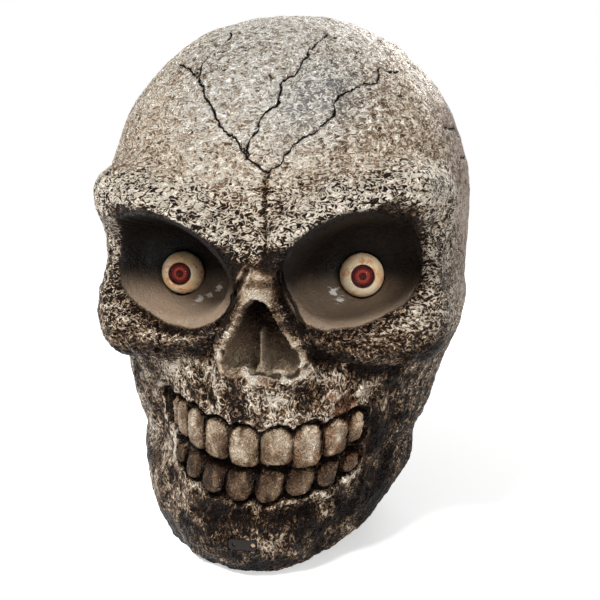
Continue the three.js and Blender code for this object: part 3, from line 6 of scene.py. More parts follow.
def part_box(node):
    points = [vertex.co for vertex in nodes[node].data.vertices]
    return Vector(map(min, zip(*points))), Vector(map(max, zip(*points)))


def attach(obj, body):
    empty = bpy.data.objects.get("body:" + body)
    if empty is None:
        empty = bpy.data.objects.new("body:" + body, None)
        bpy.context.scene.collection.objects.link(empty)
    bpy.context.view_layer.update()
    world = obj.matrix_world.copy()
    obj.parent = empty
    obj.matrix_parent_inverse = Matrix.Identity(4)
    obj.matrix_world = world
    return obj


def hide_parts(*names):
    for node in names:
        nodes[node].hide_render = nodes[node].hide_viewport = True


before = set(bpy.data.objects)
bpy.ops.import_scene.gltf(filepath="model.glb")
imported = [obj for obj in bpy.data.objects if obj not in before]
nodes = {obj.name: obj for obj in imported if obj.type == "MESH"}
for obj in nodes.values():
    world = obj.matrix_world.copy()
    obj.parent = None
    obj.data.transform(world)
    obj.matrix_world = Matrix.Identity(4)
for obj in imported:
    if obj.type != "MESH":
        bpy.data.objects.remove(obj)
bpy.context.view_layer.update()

# The camera stands in front of the face, a little to one side and above the eyes, and looks
# down at it from close by, as in the photograph.
camera_place = Vector((0.0953, -0.5187, 0.2595))
camera_turn = np.radians(9.6)
camera_drop = np.radians(10.2)
camera_roll = np.radians(-0.5)
camera_lens = 39.36
camera_sensor = 36.0
picture_size = 600


def add_object(name, data):
    made = bpy.data.objects.new(name, data)
    bpy.context.scene.collection.objects.link(made)
    return made


camera = add_object("camera", bpy.data.cameras.new("camera"))
behind = Vector((np.sin(camera_turn) * np.cos(camera_drop), -np.cos(camera_turn) * np.cos(camera_drop),
                 np.sin(camera_drop)))
level_right = Vector((np.cos(camera_turn), np.sin(camera_turn), 0))
level_up = behind.cross(level_right)
picture_right = level_right * np.cos(camera_roll) + level_up * np.sin(camera_roll)
picture_up = behind.cross(picture_right)
camera.matrix_world = Matrix.Translation(camera_place) @ Matrix(
    (picture_right, picture_up, behind)).transposed().to_4x4()
camera.data.sensor_width = camera_sensor
camera.data.lens = camera_lens
bpy.context.scene.camera = camera


# The room: a pale floor that runs on to a white backdrop, one wide soft lamp in front above the
# left of the picture, a weaker one on the right, and a strip behind for the rim of the head.
class Signal:
    """A node's output. Sums, differences and products of signals are Math nodes."""

    def __init__(self, socket):
        self.socket = socket
        self.tree = socket.id_data

    def __add__(self, other):
        return calculate("ADD", self, other)

    def __sub__(self, other):
        return calculate("SUBTRACT", self, other)

    def __mul__(self, other):
        return calculate("MULTIPLY", self, other)


def plug(node, **inputs):
    """Sets or links a node's inputs, by name, or by number as _0 and _1"""
    for key, value in inputs.items():
        socket = node.inputs[int(key[1:]) if key[1:].isdigit() else key.replace("_", " ")]
        if isinstance(value, Signal):
            value.tree.links.new(value.socket, socket)
        else:
            socket.default_value = value


def add_node(tree, kind, output=0, settings=None, **inputs):
    node = tree.nodes.new("ShaderNode" + kind)
    for key, value in (settings or {}).items():
        setattr(node, key, value)
    plug(node, **inputs)
    return Signal(node.outputs[output])


def calculate(operation, a, b=0.0):
    return add_node(a.tree, "Math", 0, {"operation": operation}, _0=a, _1=b)


def between(share, under, over):
    return add_node(share.tree, "Mix", 0, {"data_type": "FLOAT"}, _0=share, _2=under, _3=over)


def new_material(name):
    material = bpy.data.materials.new(name)
    material.use_nodes = True
    tree = material.node_tree
    return material, tree, tree.nodes["Principled BSDF"]


def seen_by_camera(tree):
    """1 for what the camera sees, straight or through glass, and 0 for light on its way to the object"""
    straight = add_node(tree, "LightPath", "Is Camera Ray")
    return calculate("MAXIMUM", straight, add_node(tree, "LightPath", "Is Transmission Ray"))


floor_half = 40.0
floor_grey = (0.86, 0.86, 0.86, 1)
near_glow, far_glow = 0.42, 0.75
glow_start, glow_end = 0.5, 2.0
world_strength = 0.34
lamps = (
    ("key_lamp", (-0.45, -0.8, 1.3), 0.36, 26.0),
    ("fill_lamp", (0.69, -0.98, 0.52), 0.5, 6.0),
    ("rim_lamp", (0.35, 0.95, 0.95), 0.7, 6.0),
)
lamp_target = Vector((0, -0.02, 0.2))

bpy.ops.object.select_all(action="DESELECT")
bpy.ops.mesh.primitive_plane_add(size=2 * floor_half)
floor = bpy.context.object
floor.name = "floor"
floor_paint, tree, shader = new_material("floor_paint")
plug(shader, Base_Color=floor_grey, Roughness=0.9, Specular_IOR_Level=0.1)
place = add_node(tree, "TexCoord", "Object")
away = add_node(tree, "VectorMath", "Value", {"operation": "LENGTH"}, _0=place)
glow = add_node(tree, "MapRange", Value=away, From_Min=glow_start, From_Max=glow_end,
                To_Min=near_glow, To_Max=far_glow)
glow_light = add_node(tree, "Emission", _1=seen_by_camera(tree) * glow)
both = add_node(tree, "AddShader", _0=Signal(shader.outputs[0]), _1=glow_light)
plug(tree.nodes["Material Output"], Surface=both)
floor.data.materials.append(floor_paint)

for name, place, size, power in lamps:
    lamp = add_object(name, bpy.data.lights.new(name, "AREA"))
    lamp.data.shape = "DISK"
    lamp.data.size = size
    lamp.data.energy = power
    lamp.location = place
    lamp.rotation_euler = (lamp_target - lamp.location).to_track_quat("-Z", "Y").to_euler()

world = bpy.data.worlds.new("room")
world.use_nodes = True
bpy.context.scene.world = world
sky = between(seen_by_camera(world.node_tree), world_strength, 1.0)
plug(world.node_tree.nodes["Background"], Color=(1, 1, 1, 1), Strength=sky)
bpy.context.scene.view_settings.view_transform = "Standard"


# The head is moulded in plastic and painted. Its form is worked out here as one field, negative inside
# and zero on the skin, in millimetres from the plane of the two eye axles and up from the base.
mm = 0.001
eye_plane = -77.0
seam_back = 91.98

# Each ridge is a chain of balls, given as x, y, z and radius
brow_path = [(8, -50, 205, 13), (27, -52, 222, 20), (57, -45, 243, 23.5), (88, -26, 251, 23.5),
             (104, 1, 247, 20.5)]
glabella_path = [(8, -42, 226, 14), (12, -38, 248, 12), (24, -34, 262, 8)]
rim_path = [(105, 2, 232, 14), (105, -4, 208, 11), (103, -12, 183, 17), (94, -20, 163, 21),
            (70, -33, 157, 12), (46, -39, 160, 9.5), (30, -44, 172, 8), (20, -46, 190, 8)]
cheek_arch_path = [(101, -2, 165, 22), (113, 30, 168, 17), (122, 70, 175, 12)]
nose_bridge_path = [(0, -40, 218, 13), (0, -49, 200, 13), (0, -58, 190, 10)]
nose_rim_path = [(0, -62, 190, 7.5), (13, -59, 176, 7), (24, -52, 158, 7), (24, -49, 144, 7),
                 (12, -51, 137, 6.5), (0, -53, 138, 6)]
jaw_line_path = [(22, -22, 24, 24), (56, 2, 36, 26), (80, 40, 56, 25)]
braincase_heights = [200, 262, 310, 379]
braincase_widths = [136, 139, 137, 132]
braincase_middle, braincase_above, braincase_below = 222, 157.0, 150.0
braincase_centre, braincase_half, braincase_depth, braincase_power = 84, 138, 140, 2.3
column_top, column_power = 190, 2.5
column_heights = [-10, 0, 20, 55, 72, 86, 100, 147, 200]
column_widths = [74, 77, 83, 96, 103, 110.5, 113, 114, 112]
column_fronts = [-26, -28, -30, -24, -22, -21, -20, -20, -24]
column_backs = [128, 130, 134, 140, 144, 148, 152, 168, 170]
sway_heights = [0, 20, 40, 60, 90, 120, 147, 200, 246, 284, 330]
sway_places = [-16, -11, -8.5, -6, -4, -4, 1, 0.5, 0.5, 2, 3]
lean_heights = [0, 27, 60, 82, 145, 200, 300]
lean_places = [-8, -8, -2, 2, 5, 5, 3]
arch_half_width, arch_half_depth, arch_centre = 76.0, 61.0, 5.0
arch_top, arch_foot, arch_round = 138, 46, 16.6
chin_front, chin_height = -26, 27
chin_radii = (46, 36, 34)
# How far each part of the form is rounded into the rest
column_blend, jaws_blend, chin_blend, jaw_line_blend = 40, 14, 18, 16.6
brow_blend, glabella_blend, rim_blend, cheek_arch_blend = 9, 16, 7, 14
nose_bridge_blend, nose_rim_blend, septum_blend = 12, 5, 2
socket_blend, nose_blend = 9, 4
mouth_height, mouth_rise = 78.0, 13.0
mouth_half, mouth_reach, mouth_depth = 32, 82, 6
gum_gap, gum_depth, gum_inside = 2.6, 5.0, 30
slit_drop, slit_half, slit_swell, slit_reach, slit_depth = 1.5, 3.2, 1.2, 62, 8
tooth_bulge, tooth_set, tooth_depth = 3.2, 1.0, 14
arch_scale = 64
socket_aside, socket_height, socket_front, socket_turn = 64.5, 203.5, -32, 20
socket_radii = (41.5, 37, 29.5)
nose_heights = [136, 138.3, 141, 147.7, 156.1, 167.8, 184.9, 190.2]
nose_halves = [7, 14, 20.5, 22.8, 20.7, 13.9, 5.5, 0.5]
nose_back, nose_floor, septum_front, septum_top = -38, 142.5, -55, 172
# Each tooth: angle on the arch, half width, lower and upper end counted from the mouth line
upper_teeth = [(-1.1, 5.5, 4.2, 26.2), (-0.9, 6.5, 3.0, 28.0), (-0.68, 7.9, 1.9, 29.2),
               (-0.42, 9.7, 1.1, 28.0), (-0.145, 10.6, 0, 26.9), (0.15, 10.8, 1.9, 26.9),
               (0.43, 9.8, -1.9, 26.9), (0.7, 8.6, 1.1, 26.2), (0.94, 7.0, 4.9, 26.2)]
lower_teeth = [(-0.9, 5.5, -17.1, -4.2), (-0.67, 8.0, -20.1, -3.0), (-0.41, 9.4, -23.1, -3.0),
               (-0.14, 10.3, -23.1, -3.0), (0.125, 9.7, -23.1, -3.0), (0.4, 9.4, -20.8, -4.2),
               (0.66, 8.0, -20.1, -3.0), (0.9, 6.3, -15.9, -3.0)]


def soft_min(a, b, reach):
    """The smaller of two distances, rounded where they are closer than reach"""
    h = np.maximum(reach - np.abs(a - b), 0) / reach
    return np.minimum(a, b) - h * h * reach / 4


def soft_max(a, b, reach):
    return -soft_min(-a, -b, reach)


def ramp(low, high, value):
    t = np.clip((value - low) / (high - low), 0, 1)
    return t * t * (3 - 2 * t)


def band(value, start, full, last, end):
    """1 from full to last, and 0 before start and after end"""
    return ramp(start, full, value) * ramp(end, last, value)


def chain(x, y, z, path):
    nearest = np.inf
    for (ax, ay, az, ar), (bx, by, bz, br) in zip(path, path[1:]):
        dx, dy, dz = bx - ax, by - ay, bz - az
        t = np.clip(((x - ax) * dx + (y - ay) * dy + (z - az) * dz) / (dx * dx + dy * dy + dz * dz), 0, 1)
        gap = np.sqrt((x - ax - t * dx) ** 2 + (y - ay - t * dy) ** 2 + (z - az - t * dz) ** 2)
        nearest = np.minimum(nearest, gap - ar - t * (br - ar))
    return nearest


def ellipsoid(x, y, z, rx, ry, rz):
    unit = np.sqrt((x / rx) ** 2 + (y / ry) ** 2 + (z / rz) ** 2) + 1e-6
    rate = np.sqrt((x / rx ** 2) ** 2 + (y / ry ** 2) ** 2 + (z / rz ** 2) ** 2) + 1e-6
    return unit * (unit - 1) / rate


def face_lean(z):
    return np.interp(z, lean_heights, lean_places)


def arch_place(xm, y):
    """The angle round the arch of the jaws, and how far outside it a place lies"""
    angle = np.arctan2(xm / arch_half_width, (arch_centre - y) / arch_half_depth)
    out = np.hypot(xm / arch_half_width, (arch_centre - y) / arch_half_depth) - 1
    return angle, out * np.sqrt(arch_half_width * arch_half_depth)


def mouth_line(xm):
    return mouth_height + mouth_rise * (xm / arch_half_width) ** 2


def tooth_plan(xm, y, z):
    """How far each place on the jaws lies from the outline of the nearest tooth, and how full it is there"""
    angle, out = arch_place(xm, y)
    reach = np.sqrt((arch_half_width * np.cos(angle)) ** 2 + (arch_half_depth * np.sin(angle)) ** 2)
    level = z - mouth_line(xm)
    best = np.full(np.shape(xm), 60.0)
    crown = np.zeros(np.shape(xm))
    for row, teeth in ((1, upper_teeth), (-1, lower_teeth)):
        for place, half, low, high in teeth:
            u = (angle - place) * reach
            v = level - (low + high) / 2
            tall = (high - low) / 2
            corner = np.minimum(np.where(v * row > 0, 0.92, 0.42) * half, tall * 0.9)
            eu = np.abs(u) - (half - corner)
            ev = np.abs(v) - (tall - corner)
            edge = np.hypot(np.maximum(eu, 0), np.maximum(ev, 0)) + np.minimum(np.maximum(eu, ev), 0) - corner
            swell = 1 - 0.75 * (u / half) ** 2 - 0.35 * (v / tall) ** 2 + 0.12 * (v * row) / tall
            crown = np.where(edge < best, swell, crown)
            best = np.minimum(best, edge)
    return best, crown, angle, out, level


def socket_field(x, y, z):
    turn = np.radians(socket_turn)
    aside = np.abs(x - 5 * np.clip(1 - np.abs(x) / 80, 0, 1)) - socket_aside
    u = aside * np.cos(turn) + (z - socket_height) * np.sin(turn)
    v = -aside * np.sin(turn) + (z - socket_height) * np.cos(turn)
    flare = 1 + np.maximum(socket_front - y, 0) * 0.006
    return ellipsoid(u / flare, np.maximum(y - socket_front, 0), v / flare, *socket_radii)


def nose_field(xm, y, z):
    half = np.interp(z, nose_heights, nose_halves)
    hole = soft_max(np.abs(xm) - half, z - 188, 4)
    # two rounded lobes rise from the floor on either side of the septum
    lobes = nose_floor + 4.5 * ramp(8, 0, np.abs(np.abs(xm) - 12)) * ramp(-30, -50, y)
    hole = soft_max(hole, lobes - z, 3)
    return soft_max(hole, y - nose_back, 8)


def septum_field(xm, y, z):
    sheet = soft_max(np.abs(xm) - 1.5 - np.maximum(0, 150 - z) * 0.25, z - septum_top, 6)
    sheet = soft_max(sheet, septum_front - y + (z - 150) * 0.12, 3)
    return soft_max(soft_max(sheet, y + 20, 3), 140 - z, 3)


def skull_field(x, y, z, detail=True):
    """The head's form. Without detail it has no face ridges and one plain band for the mouth."""
    side = np.abs(x)
    xm = x - face_lean(z)
    am = np.abs(xm)
    fade = np.clip((117 - y) / 67, 0, 1)
    body = np.abs(x - np.interp(z, sway_heights, sway_places) * fade)
    # braincase
    rise = z - braincase_middle
    reach = np.where(rise > 0, braincase_above, braincase_below)
    wide = np.interp(z, braincase_heights, braincase_widths)
    deep = np.abs(y - braincase_centre) / braincase_depth
    ball = ((body / wide) ** braincase_power + deep ** braincase_power
            + (np.abs(rise) / reach) ** braincase_power) ** (1 / braincase_power)
    skin = (ball - 1) * braincase_half
    # column of jaw, cheeks and neck
    half = np.interp(z, column_heights, column_widths)
    front = np.interp(z, column_heights, column_fronts)
    back = np.interp(z, column_heights, column_backs)
    deep = np.abs(2 * y - front - back) / (back - front)
    post = ((body / half) ** column_power + deep ** column_power) ** (1 / column_power)
    skin = soft_min(skin, soft_max((post - 1) * half, z - column_top, column_blend), column_blend)
    if detail:
        for path, blend in ((brow_path, brow_blend), (glabella_path, glabella_blend),
                            (rim_path, rim_blend), (cheek_arch_path, cheek_arch_blend)):
            skin = soft_min(skin, chain(side, y, z, path), blend)
        skin = soft_min(skin, chain(am, y, z, nose_bridge_path), nose_bridge_blend)
        skin = soft_min(skin, chain(am, y, z, nose_rim_path), nose_rim_blend)
    # jaws and chin
    angle, out = arch_place(xm, y)
    jaws = soft_max(soft_max(out, z - arch_top, arch_round), arch_foot - z, arch_round)
    skin = soft_min(skin, jaws, jaws_blend)
    skin = soft_min(skin, ellipsoid(xm, y - chin_front, z - chin_height, *chin_radii), chin_blend)
    skin = soft_min(skin, chain(body, y, z, jaw_line_path), jaw_line_blend)
    skin = soft_max(skin, -socket_field(x, y, z), socket_blend)
    skin = soft_max(skin, -nose_field(xm, y, z), nose_blend)
    skin = soft_min(skin, septum_field(xm, y, z), septum_blend)
    if not detail:
        mouth = soft_max(np.abs(z - mouth_line(xm)) - mouth_half, np.abs(angle) * arch_scale - mouth_reach, 6)
        return soft_max(skin, -soft_max(mouth, -(out + mouth_depth), 4), 4)
    # each tooth stands in its own scalloped groove, and the rows part along the mouth line
    plan, crown, angle, out, level = tooth_plan(xm, y, z)
    gum = soft_max(soft_max(plan - gum_gap, -(out + gum_depth), 2.2), out - gum_inside, 3)
    slit = np.abs(level + slit_drop) - slit_half - slit_swell * np.cos(angle)
    slit = soft_max(slit, np.abs(angle) * arch_scale - slit_reach, 4)
    slit = soft_max(slit, -(out + slit_depth), 2.5)
    skin = soft_max(soft_max(skin, -gum, 1.8), -slit, 1.5)
    tooth = soft_max(plan, out - tooth_bulge * crown + tooth_set, 3.4)
    tooth = soft_max(tooth, -(out + tooth_depth), 3)
    return soft_min(skin, tooth, 0.8)


def ray_grid(columns, rows):
    """Rays from a core inside the head: nearly straight ahead over the face, fanning out round the sides"""
    front, fan = 0.52, 0.16
    narrow, wide = 22.0, 150.0
    low, top, back = -6, 262, 45
    share = np.arange(columns) / columns
    stops = [0, front, front + fan, 1 - fan, 1]
    across = np.interp(share, stops, [-1, 1, 1, -1, -1])
    turn = np.radians(np.interp(share, stops, [-narrow, narrow, wide, 360 - wide, 360 - narrow]))
    sine, cosine = np.sin(turn), np.cos(turn)
    up = np.arange(rows)[:, None] / rows / 0.8
    over = np.clip((up - 1) * 4, 0, 1)
    height = low + (top - low) * np.minimum(up, 1)
    tilt = np.radians(np.where(up < 1, 10 * up, 10 + 80 * over))
    spread = 1 - over ** 1.6
    core = np.interp(height, [0, 24, 55, 100, 150, 262], [22, 34, 62, 84, 92, 92]) * spread
    start = np.dstack(np.broadcast_arrays(across * core, back * (1.5 - 0.5 * spread), height))
    aim = np.dstack(np.broadcast_arrays(np.cos(tilt) * sine, -np.cos(tilt) * cosine, np.sin(tilt)))
    poles = [[0, back, low], [0, back * 1.5, top]], [[0, 0, -1], [0, 0, 1]]
    return np.vstack([start.reshape(-1, 3), poles[0]]), np.vstack([aim.reshape(-1, 3), poles[1]])


def first_skin(field, start, aim, level, steps=64, far=235.0):
    """Where each ray first meets the level of the field"""
    near = np.zeros(len(start))
    beyond = np.full(len(start), far)
    going = np.arange(len(start))
    for reach in np.linspace(0, far, steps)[1:]:
        p = start[going] + reach * aim[going]
        out = field(p[:, 0], p[:, 1], p[:, 2]) > level
        beyond[going[out]] = reach
        near[going[~out]] = reach
        going = going[~out]
    for _ in range(12):
        middle = (near + beyond) / 2
        p = start + middle[:, None] * aim
        out = field(p[:, 0], p[:, 1], p[:, 2]) > level
        beyond = np.where(out, middle, beyond)
        near = np.where(out, near, middle)
    return start + ((near + beyond) / 2)[:, None] * aim


def grid_faces(columns, rows):
    """Quads between the rings of points, and a fan at each pole"""
    i, j = np.meshgrid(np.arange(columns), np.arange(rows - 1))
    a = (j * columns + i).ravel()
    b = (j * columns + (i + 1) % columns).ravel()
    faces = np.stack([a, b, b + columns, a + columns], axis=1).tolist()
    low, top = rows * columns, rows * columns + 1
    last = (rows - 1) * columns
    for i in range(columns):
        n = (i + 1) % columns
        faces.append([low, n, i])
        faces.append([top, last + i, last + n])
    return faces


root_depth = 12.0


def cast_head(columns, rows, level=0.0, detail=True):
    def rooted(x, y, z):
        return np.maximum(skull_field(x, y, z, detail), -z - root_depth)
    start, aim = ray_grid(columns, rows)
    return first_skin(rooted, start, aim, level), grid_faces(columns, rows)


def slope(points, step=0.6):
    """The way the skin faces"""
    rate = np.empty_like(points)
    for axis in range(3):
        off = np.zeros(3)
        off[axis] = step
        a, b = points + off, points - off
        rate[:, axis] = skull_field(*a.T) - skull_field(*b.T)
    return rate / (np.linalg.norm(rate, axis=1, keepdims=True) + 1e-9)


def from_eyes(points):
    """From millimetres with the eyes at y = 0 to the frame's metres"""
    return (points + np.array([0, eye_plane, 0])) * mm


def to_eyes(point):
    return np.array(point) / mm - np.array([0, eye_plane, 0])


skin_columns, skin_rows = 384, 294
skin_points, skin_faces = cast_head(skin_columns, skin_rows)
skin_normals = slope(skin_points)


# The skin is textured like cast stone: a net of thin raised strings with pits between them, coarser
# on the braincase and drawn out downwards on the jaws. Sockets, nose and teeth are nearly smooth.
lattice = np.random.RandomState(7).rand(64, 64, 64).astype(np.float32) * 2 - 1


def grain(p, size, shift):
    """Smooth noise in lumps of a size, the same each run"""
    q = p / size + shift
    base = np.floor(q).astype(int)
    f = q - base
    f = f * f * f * (f * (f * 6 - 15) + 10)
    total = 0
    for corner in np.ndindex(2, 2, 2):
        weight = np.prod(np.where(np.array(corner), f, 1 - f), axis=1)
        a, b, c = ((base + corner) % 64).T
        total = total + weight * lattice[a, b, c]
    return total


def wobble(size, *shifts):
    return np.stack([grain(skin_points, size, shift) for shift in shifts], axis=1)


def strings(p, size, shift):
    """Thin crests where two sides of the grain meet"""
    return 1 - 2.6 * np.minimum(np.abs(grain(p, size, shift)), 0.55)


x, y, z = skin_points.T
xm = x - face_lean(z)
am = np.abs(xm)
plan, crown, angle, out, level = tooth_plan(xm, y, z)
socket_reach = socket_field(x, y, z)
nose_reach = nose_field(xm, y, z)
on_socket = ramp(2.5, -1.5, socket_reach) * ramp(-72, -64, y)
on_nose = ramp(1.5, -1.0, nose_reach) * ramp(-66, -60, y)
on_tooth = ramp(0.8, -0.8, plan) * band(out, -9, -3, 5, 8)
on_jaw = ramp(175, 135, z)
on_side = ramp(95, 120, np.abs(x)) * ramp(-5, 25, y)
on_bridge = ramp(20, 12, am) * band(z, 184, 190, 206, 214) * ramp(-40, -50, y)
smooth = np.clip(on_socket + on_nose + 0.7 * on_bridge, 0, 1)

drawn_out = np.stack([1 + 0.15 * on_jaw, 1 + 0.15 * on_jaw, 1 - 0.3 * on_jaw], axis=1)
drawn = skin_points * drawn_out + 1.6 * wobble(11, 3.1, 7.7, 11.3)
coarse = strings(drawn, 5.2, 0.0)
fine = strings(drawn, 3.4, 17.0)
pits = grain(drawn, 2.6, 29.0)
swells = grain(skin_points, 17, 41.0) + 0.6 * grain(skin_points, 9, 53.0)
relief = 0.4 * coarse + 0.45 * fine + 0.3 * pits
relief_depth = (0.75 + 0.2 * on_jaw) * (1 - 0.93 * smooth) * (1 - 0.92 * on_tooth) * (1 - 0.35 * on_side)
swell_depth = (0.75 + 0.5 * on_jaw) * (1 - smooth) * (1 - 0.9 * on_tooth)
skin_height = relief_depth * relief + swell_depth * swells


# Cracks run down over the braincase from the crown and meet above the nose, and short ones mark the
# sides. They are cut as thin grooves with raised lips, along lines laid on the form.
# Each line is a row of pixels of the photograph, from which its places on the form are worked out.
crack_pixels = [
    [(153, 74), (180, 65), (191, 71), (201, 86), (206, 100), (217, 117), (222, 129), (236, 138), (246, 155),
     (258, 167), (265, 174)],
    [(231, 33), (229, 40), (211, 52), (199, 69), (199, 81), (203, 90)],
    [(327, 34), (316, 45), (301, 62), (294, 74), (280, 84), (280, 103), (261, 117), (258, 131), (249, 141),
     (248, 157)],
    [(265, 174), (270, 172), (280, 165), (294, 145), (315, 131), (334, 117), (335, 103), (342, 95), (366, 84),
     (378, 83), (378, 71), (397, 71)],
    [(445, 128), (454, 128), (458, 136)],
    [(464, 157), (460, 159), (459, 170), (459, 183)],
    [(454, 226), (458, 247), (464, 260)],
    [(451, 238), (451, 245)],
    [(157, 324), (159, 338), (157, 352)],
]
crease_pixels = [[(265, 178), (266, 190), (264, 203), (266, 222), (265, 240), (265, 255)]]
fold_pixels = [
    [(246, 272), (241, 283), (233, 297), (225, 311), (219, 327)],
    [(279, 272), (284, 284), (291, 298), (298, 311), (306, 325)],
    [(222, 352), (238, 366), (254, 373), (272, 375), (292, 377), (306, 366)],
]
furrow_pixels = [
    [(368, 378), (373, 400), (374, 425), (370, 448), (362, 472)],
    [(391, 392), (393, 420), (388, 450), (378, 480)],
    [(311, 384), (314, 400), (315, 416)],
    [(345, 386), (350, 402), (351, 418)],
    [(300, 356), (330, 362), (365, 368), (400, 366), (422, 358)],
    [(172, 378), (166, 396), (161, 420)],
    [(196, 372), (205, 384), (209, 398)],
    [(190, 350), (165, 352), (140, 346)],
    [(196, 508), (230, 514), (270, 516), (310, 510), (335, 498)],
    [(160, 319), (176, 327), (196, 327), (212, 320), (226, 306)],
    [(300, 318), (318, 334), (344, 345), (374, 345), (398, 336)],
]


def on_form(pixels):
    """The places where the lines of sight through these pixels meet the skin"""
    start = to_eyes(camera_place)
    distance = camera_lens / camera_sensor * picture_size
    places = []
    for px, py in pixels:
        sight = (-np.array(behind) * distance + np.array(picture_right) * (px - picture_size / 2)
                 - np.array(picture_up) * (py - picture_size / 2))
        along = start + np.linspace(200, 800, 1201)[:, None] * sight / np.linalg.norm(sight)
        inside = skull_field(*along.T) < 0
        if inside.any():
            places.append(along[np.argmax(inside)])
    return places


def line_gap(p, lines):
    """How far each place is from the nearest line, and the same distance with the line's side as its sign"""
    gap = np.full(len(p), 1e3)
    signed = np.full(len(p), 1e3)
    for line in lines:
        for a, b in zip(line, line[1:]):
            d = b - a
            near = np.flatnonzero(np.abs(p - (a + b) / 2).max(1) < np.linalg.norm(d) / 2 + 14)
            t = np.clip(((p[near] - a) @ d) / (d @ d), 0, 1)
            away = p[near] - a - t[:, None] * d
            reach = np.linalg.norm(away, axis=1)
            side = np.sign((np.cross(d, away) * skin_normals[near]).sum(1))
            closer = reach < gap[near]
            gap[near[closer]] = reach[closer]
            signed[near[closer]] = (reach * side)[closer]
    return gap, signed


wander = wobble(5, 61.0, 67.0, 71.0) + 0.5 * wobble(2.4, 73.0, 79.0, 83.0)
crack_depth, lip_height, crease_depth = 1.6, 0.15, 1.3
furrow_depth, furrow_lip, fold_depth, fold_rise = 1.7, 0.8, 1.8, 0.7
hinge_relief = 0.15


def drawn_gap(pixel_lines, raggedness):
    return line_gap(skin_points + raggedness * wander, [on_form(line) for line in pixel_lines])


furrows, _ = drawn_gap(furrow_pixels, 1.4)
folds, _ = drawn_gap(fold_pixels, 0.8)
cracks, crack_side = drawn_gap(crack_pixels, 1.3)
crease, _ = drawn_gap(crease_pixels, 1.1)
crack = ramp(1.5, 0.4, cracks)
lips = band(cracks, 1.3, 2.2, 2.4, 5.0)
skin_height = skin_height * (1 - 0.7 * crack) - crack_depth * crack + lip_height * lips
skin_height = skin_height - crease_depth * ramp(6, 0, crease)
skin_height = skin_height - furrow_depth * ramp(7, 0, furrows) + furrow_lip * band(furrows, 5, 8, 8.5, 13)
skin_height = skin_height - fold_depth * ramp(2.6, 0.3, folds) + fold_rise * band(folds, 2.2, 3.4, 3.8, 6)
# the skin stays plain along the battery door's hinge, so that the door can swing
near_hinge = ramp(11, 6, np.abs(z - 13)) * ramp(40, 35, np.abs(x)) * ramp(90, 110, y)
skin_height = skin_height * (1 - near_hinge) - hinge_relief * near_hinge

# How the paint lies on the form: thick on crests; lighter on what faces up, which is painted light;
# darker below the brows, in hollows and round the teeth, which is painted shade. Distances are marked
# in millimetres, so that their lines stay sharp.
# how light the skin is painted at each height: lighter towards the top, partly painted light from above
cover_heights = [0, 14, 40, 58, 75, 100, 130, 150, 165, 200, 236, 246, 254, 266, 290, 330, 380]
cover_shares = [0.16, 0.16, 0.0, 0.14, 0.32, 0.38, 0.48, 0.28, 0.20, 0.24, 0.62, 0.72, 0.84, 0.88, 0.84,
                0.84, 0.90]
contrast_heights = [0, 60, 150, 185, 215, 250, 266, 300, 340]
contrast_shares = [1.0, 0.95, 1.2, 1.6, 1.9, 1.6, 0.9, 0.8, 1.0]
brow_reaches = [0, 13, 20, 33, 56, 80, 105]
brow_edges = [213, 219, 222, 232, 242, 247, 248]
bridge_reaches = [0, 9, 18]
bridge_tops = [203, 200, 184]
stain_pixels = [(318, 455), (331, 440), (345, 427), (346, 408), (330, 398), (300, 448), (352, 450)]
cool_pixels = [(318, 98), (300, 108), (326, 84)]
# places of small painted highlights in the sockets beside the eyes
socket_glint_pixels = [(200, 299), (210, 296), (219, 288), (333, 292), (340, 300)]


def near_pixels(pixels, reach):
    """How near each place lies to the places under these pixels, from 0 to 1"""
    best = np.zeros(len(skin_points))
    for place in on_form(pixels):
        best = np.maximum(best, np.exp(-((skin_points - place) ** 2).sum(1) / reach ** 2))
    return best


inward = skin_points - 9 * skin_normals
crest = np.clip((skull_field(*inward.T) + 9) / 5.5, 0, 1)
# painted shade: darker in hollows, measured like occlusion by how soon the field closes in over the skin
hollow_shade = np.zeros(len(skin_points))
for reach, weight in ((4, 0.45), (10, 0.35), (24, 0.3)):
    outward = skin_points + reach * skin_normals
    hollow_shade = hollow_shade + weight * np.clip((0.92 * reach - skull_field(*outward.T)) / (0.8 * reach), 0, 1)
hollow_shade = np.clip(hollow_shade, 0, 1)
facing_up = skin_normals[:, 2]
front = ramp(20, -15, y)
ragged = 4.5 * swells
from_middle = np.abs(x - 5)
brow_edge = np.interp(from_middle, brow_reaches, brow_edges) + ragged
bridge_top = np.interp(from_middle, bridge_reaches, bridge_tops)
# painted shade: a dark band below the brows, where their shadow falls
brow_shadow = ramp(4, -4, z - brow_edge) * ramp(0, 8, z + ragged - bridge_top) * ramp(104, 88, from_middle)
brow_shadow = brow_shadow * front
brow_crest = band(z - brow_edge, -3, 3, 12, 26) * front * ramp(8, 24, from_middle)
brow_middle = ramp(30, 12, from_middle) * band(z, 212, 222, 250, 272) * front
# lighter towards the top, partly painted light from above; darker along the crease and furrows, which is
# painted shade
cover = np.interp(z + 6 * swells, cover_heights, cover_shares)
cover = cover - 0.2 * ramp(5, 0.5, crease) - 0.5 * ramp(2.2, 0.8, crease) - 0.2 * ramp(8, 1, furrows)
# painted light on what faces up below the brow crest, and lighter paint on crests; painted shade below the
# brows and in hollows; a lighter bridge of the nose
cover = cover + 0.2 * facing_up * ramp(262, 245, z) + 0.16 * (crest - 0.35) * (1 - on_side)
cover = cover - 0.6 * brow_shadow - 0.4 * hollow_shade + 0.5 * on_bridge
# on the sides and back: lighter high up and darker low down, partly painted light from above
cover = cover + (1 - front) * (0.3 * ramp(262, 230, z) - 0.3 * ramp(205, 135, z + 18 * swells))
jaw_blotches = 0.5 * grain(skin_points, 14, 91.0) + 0.3 * grain(skin_points, 6, 97.0)
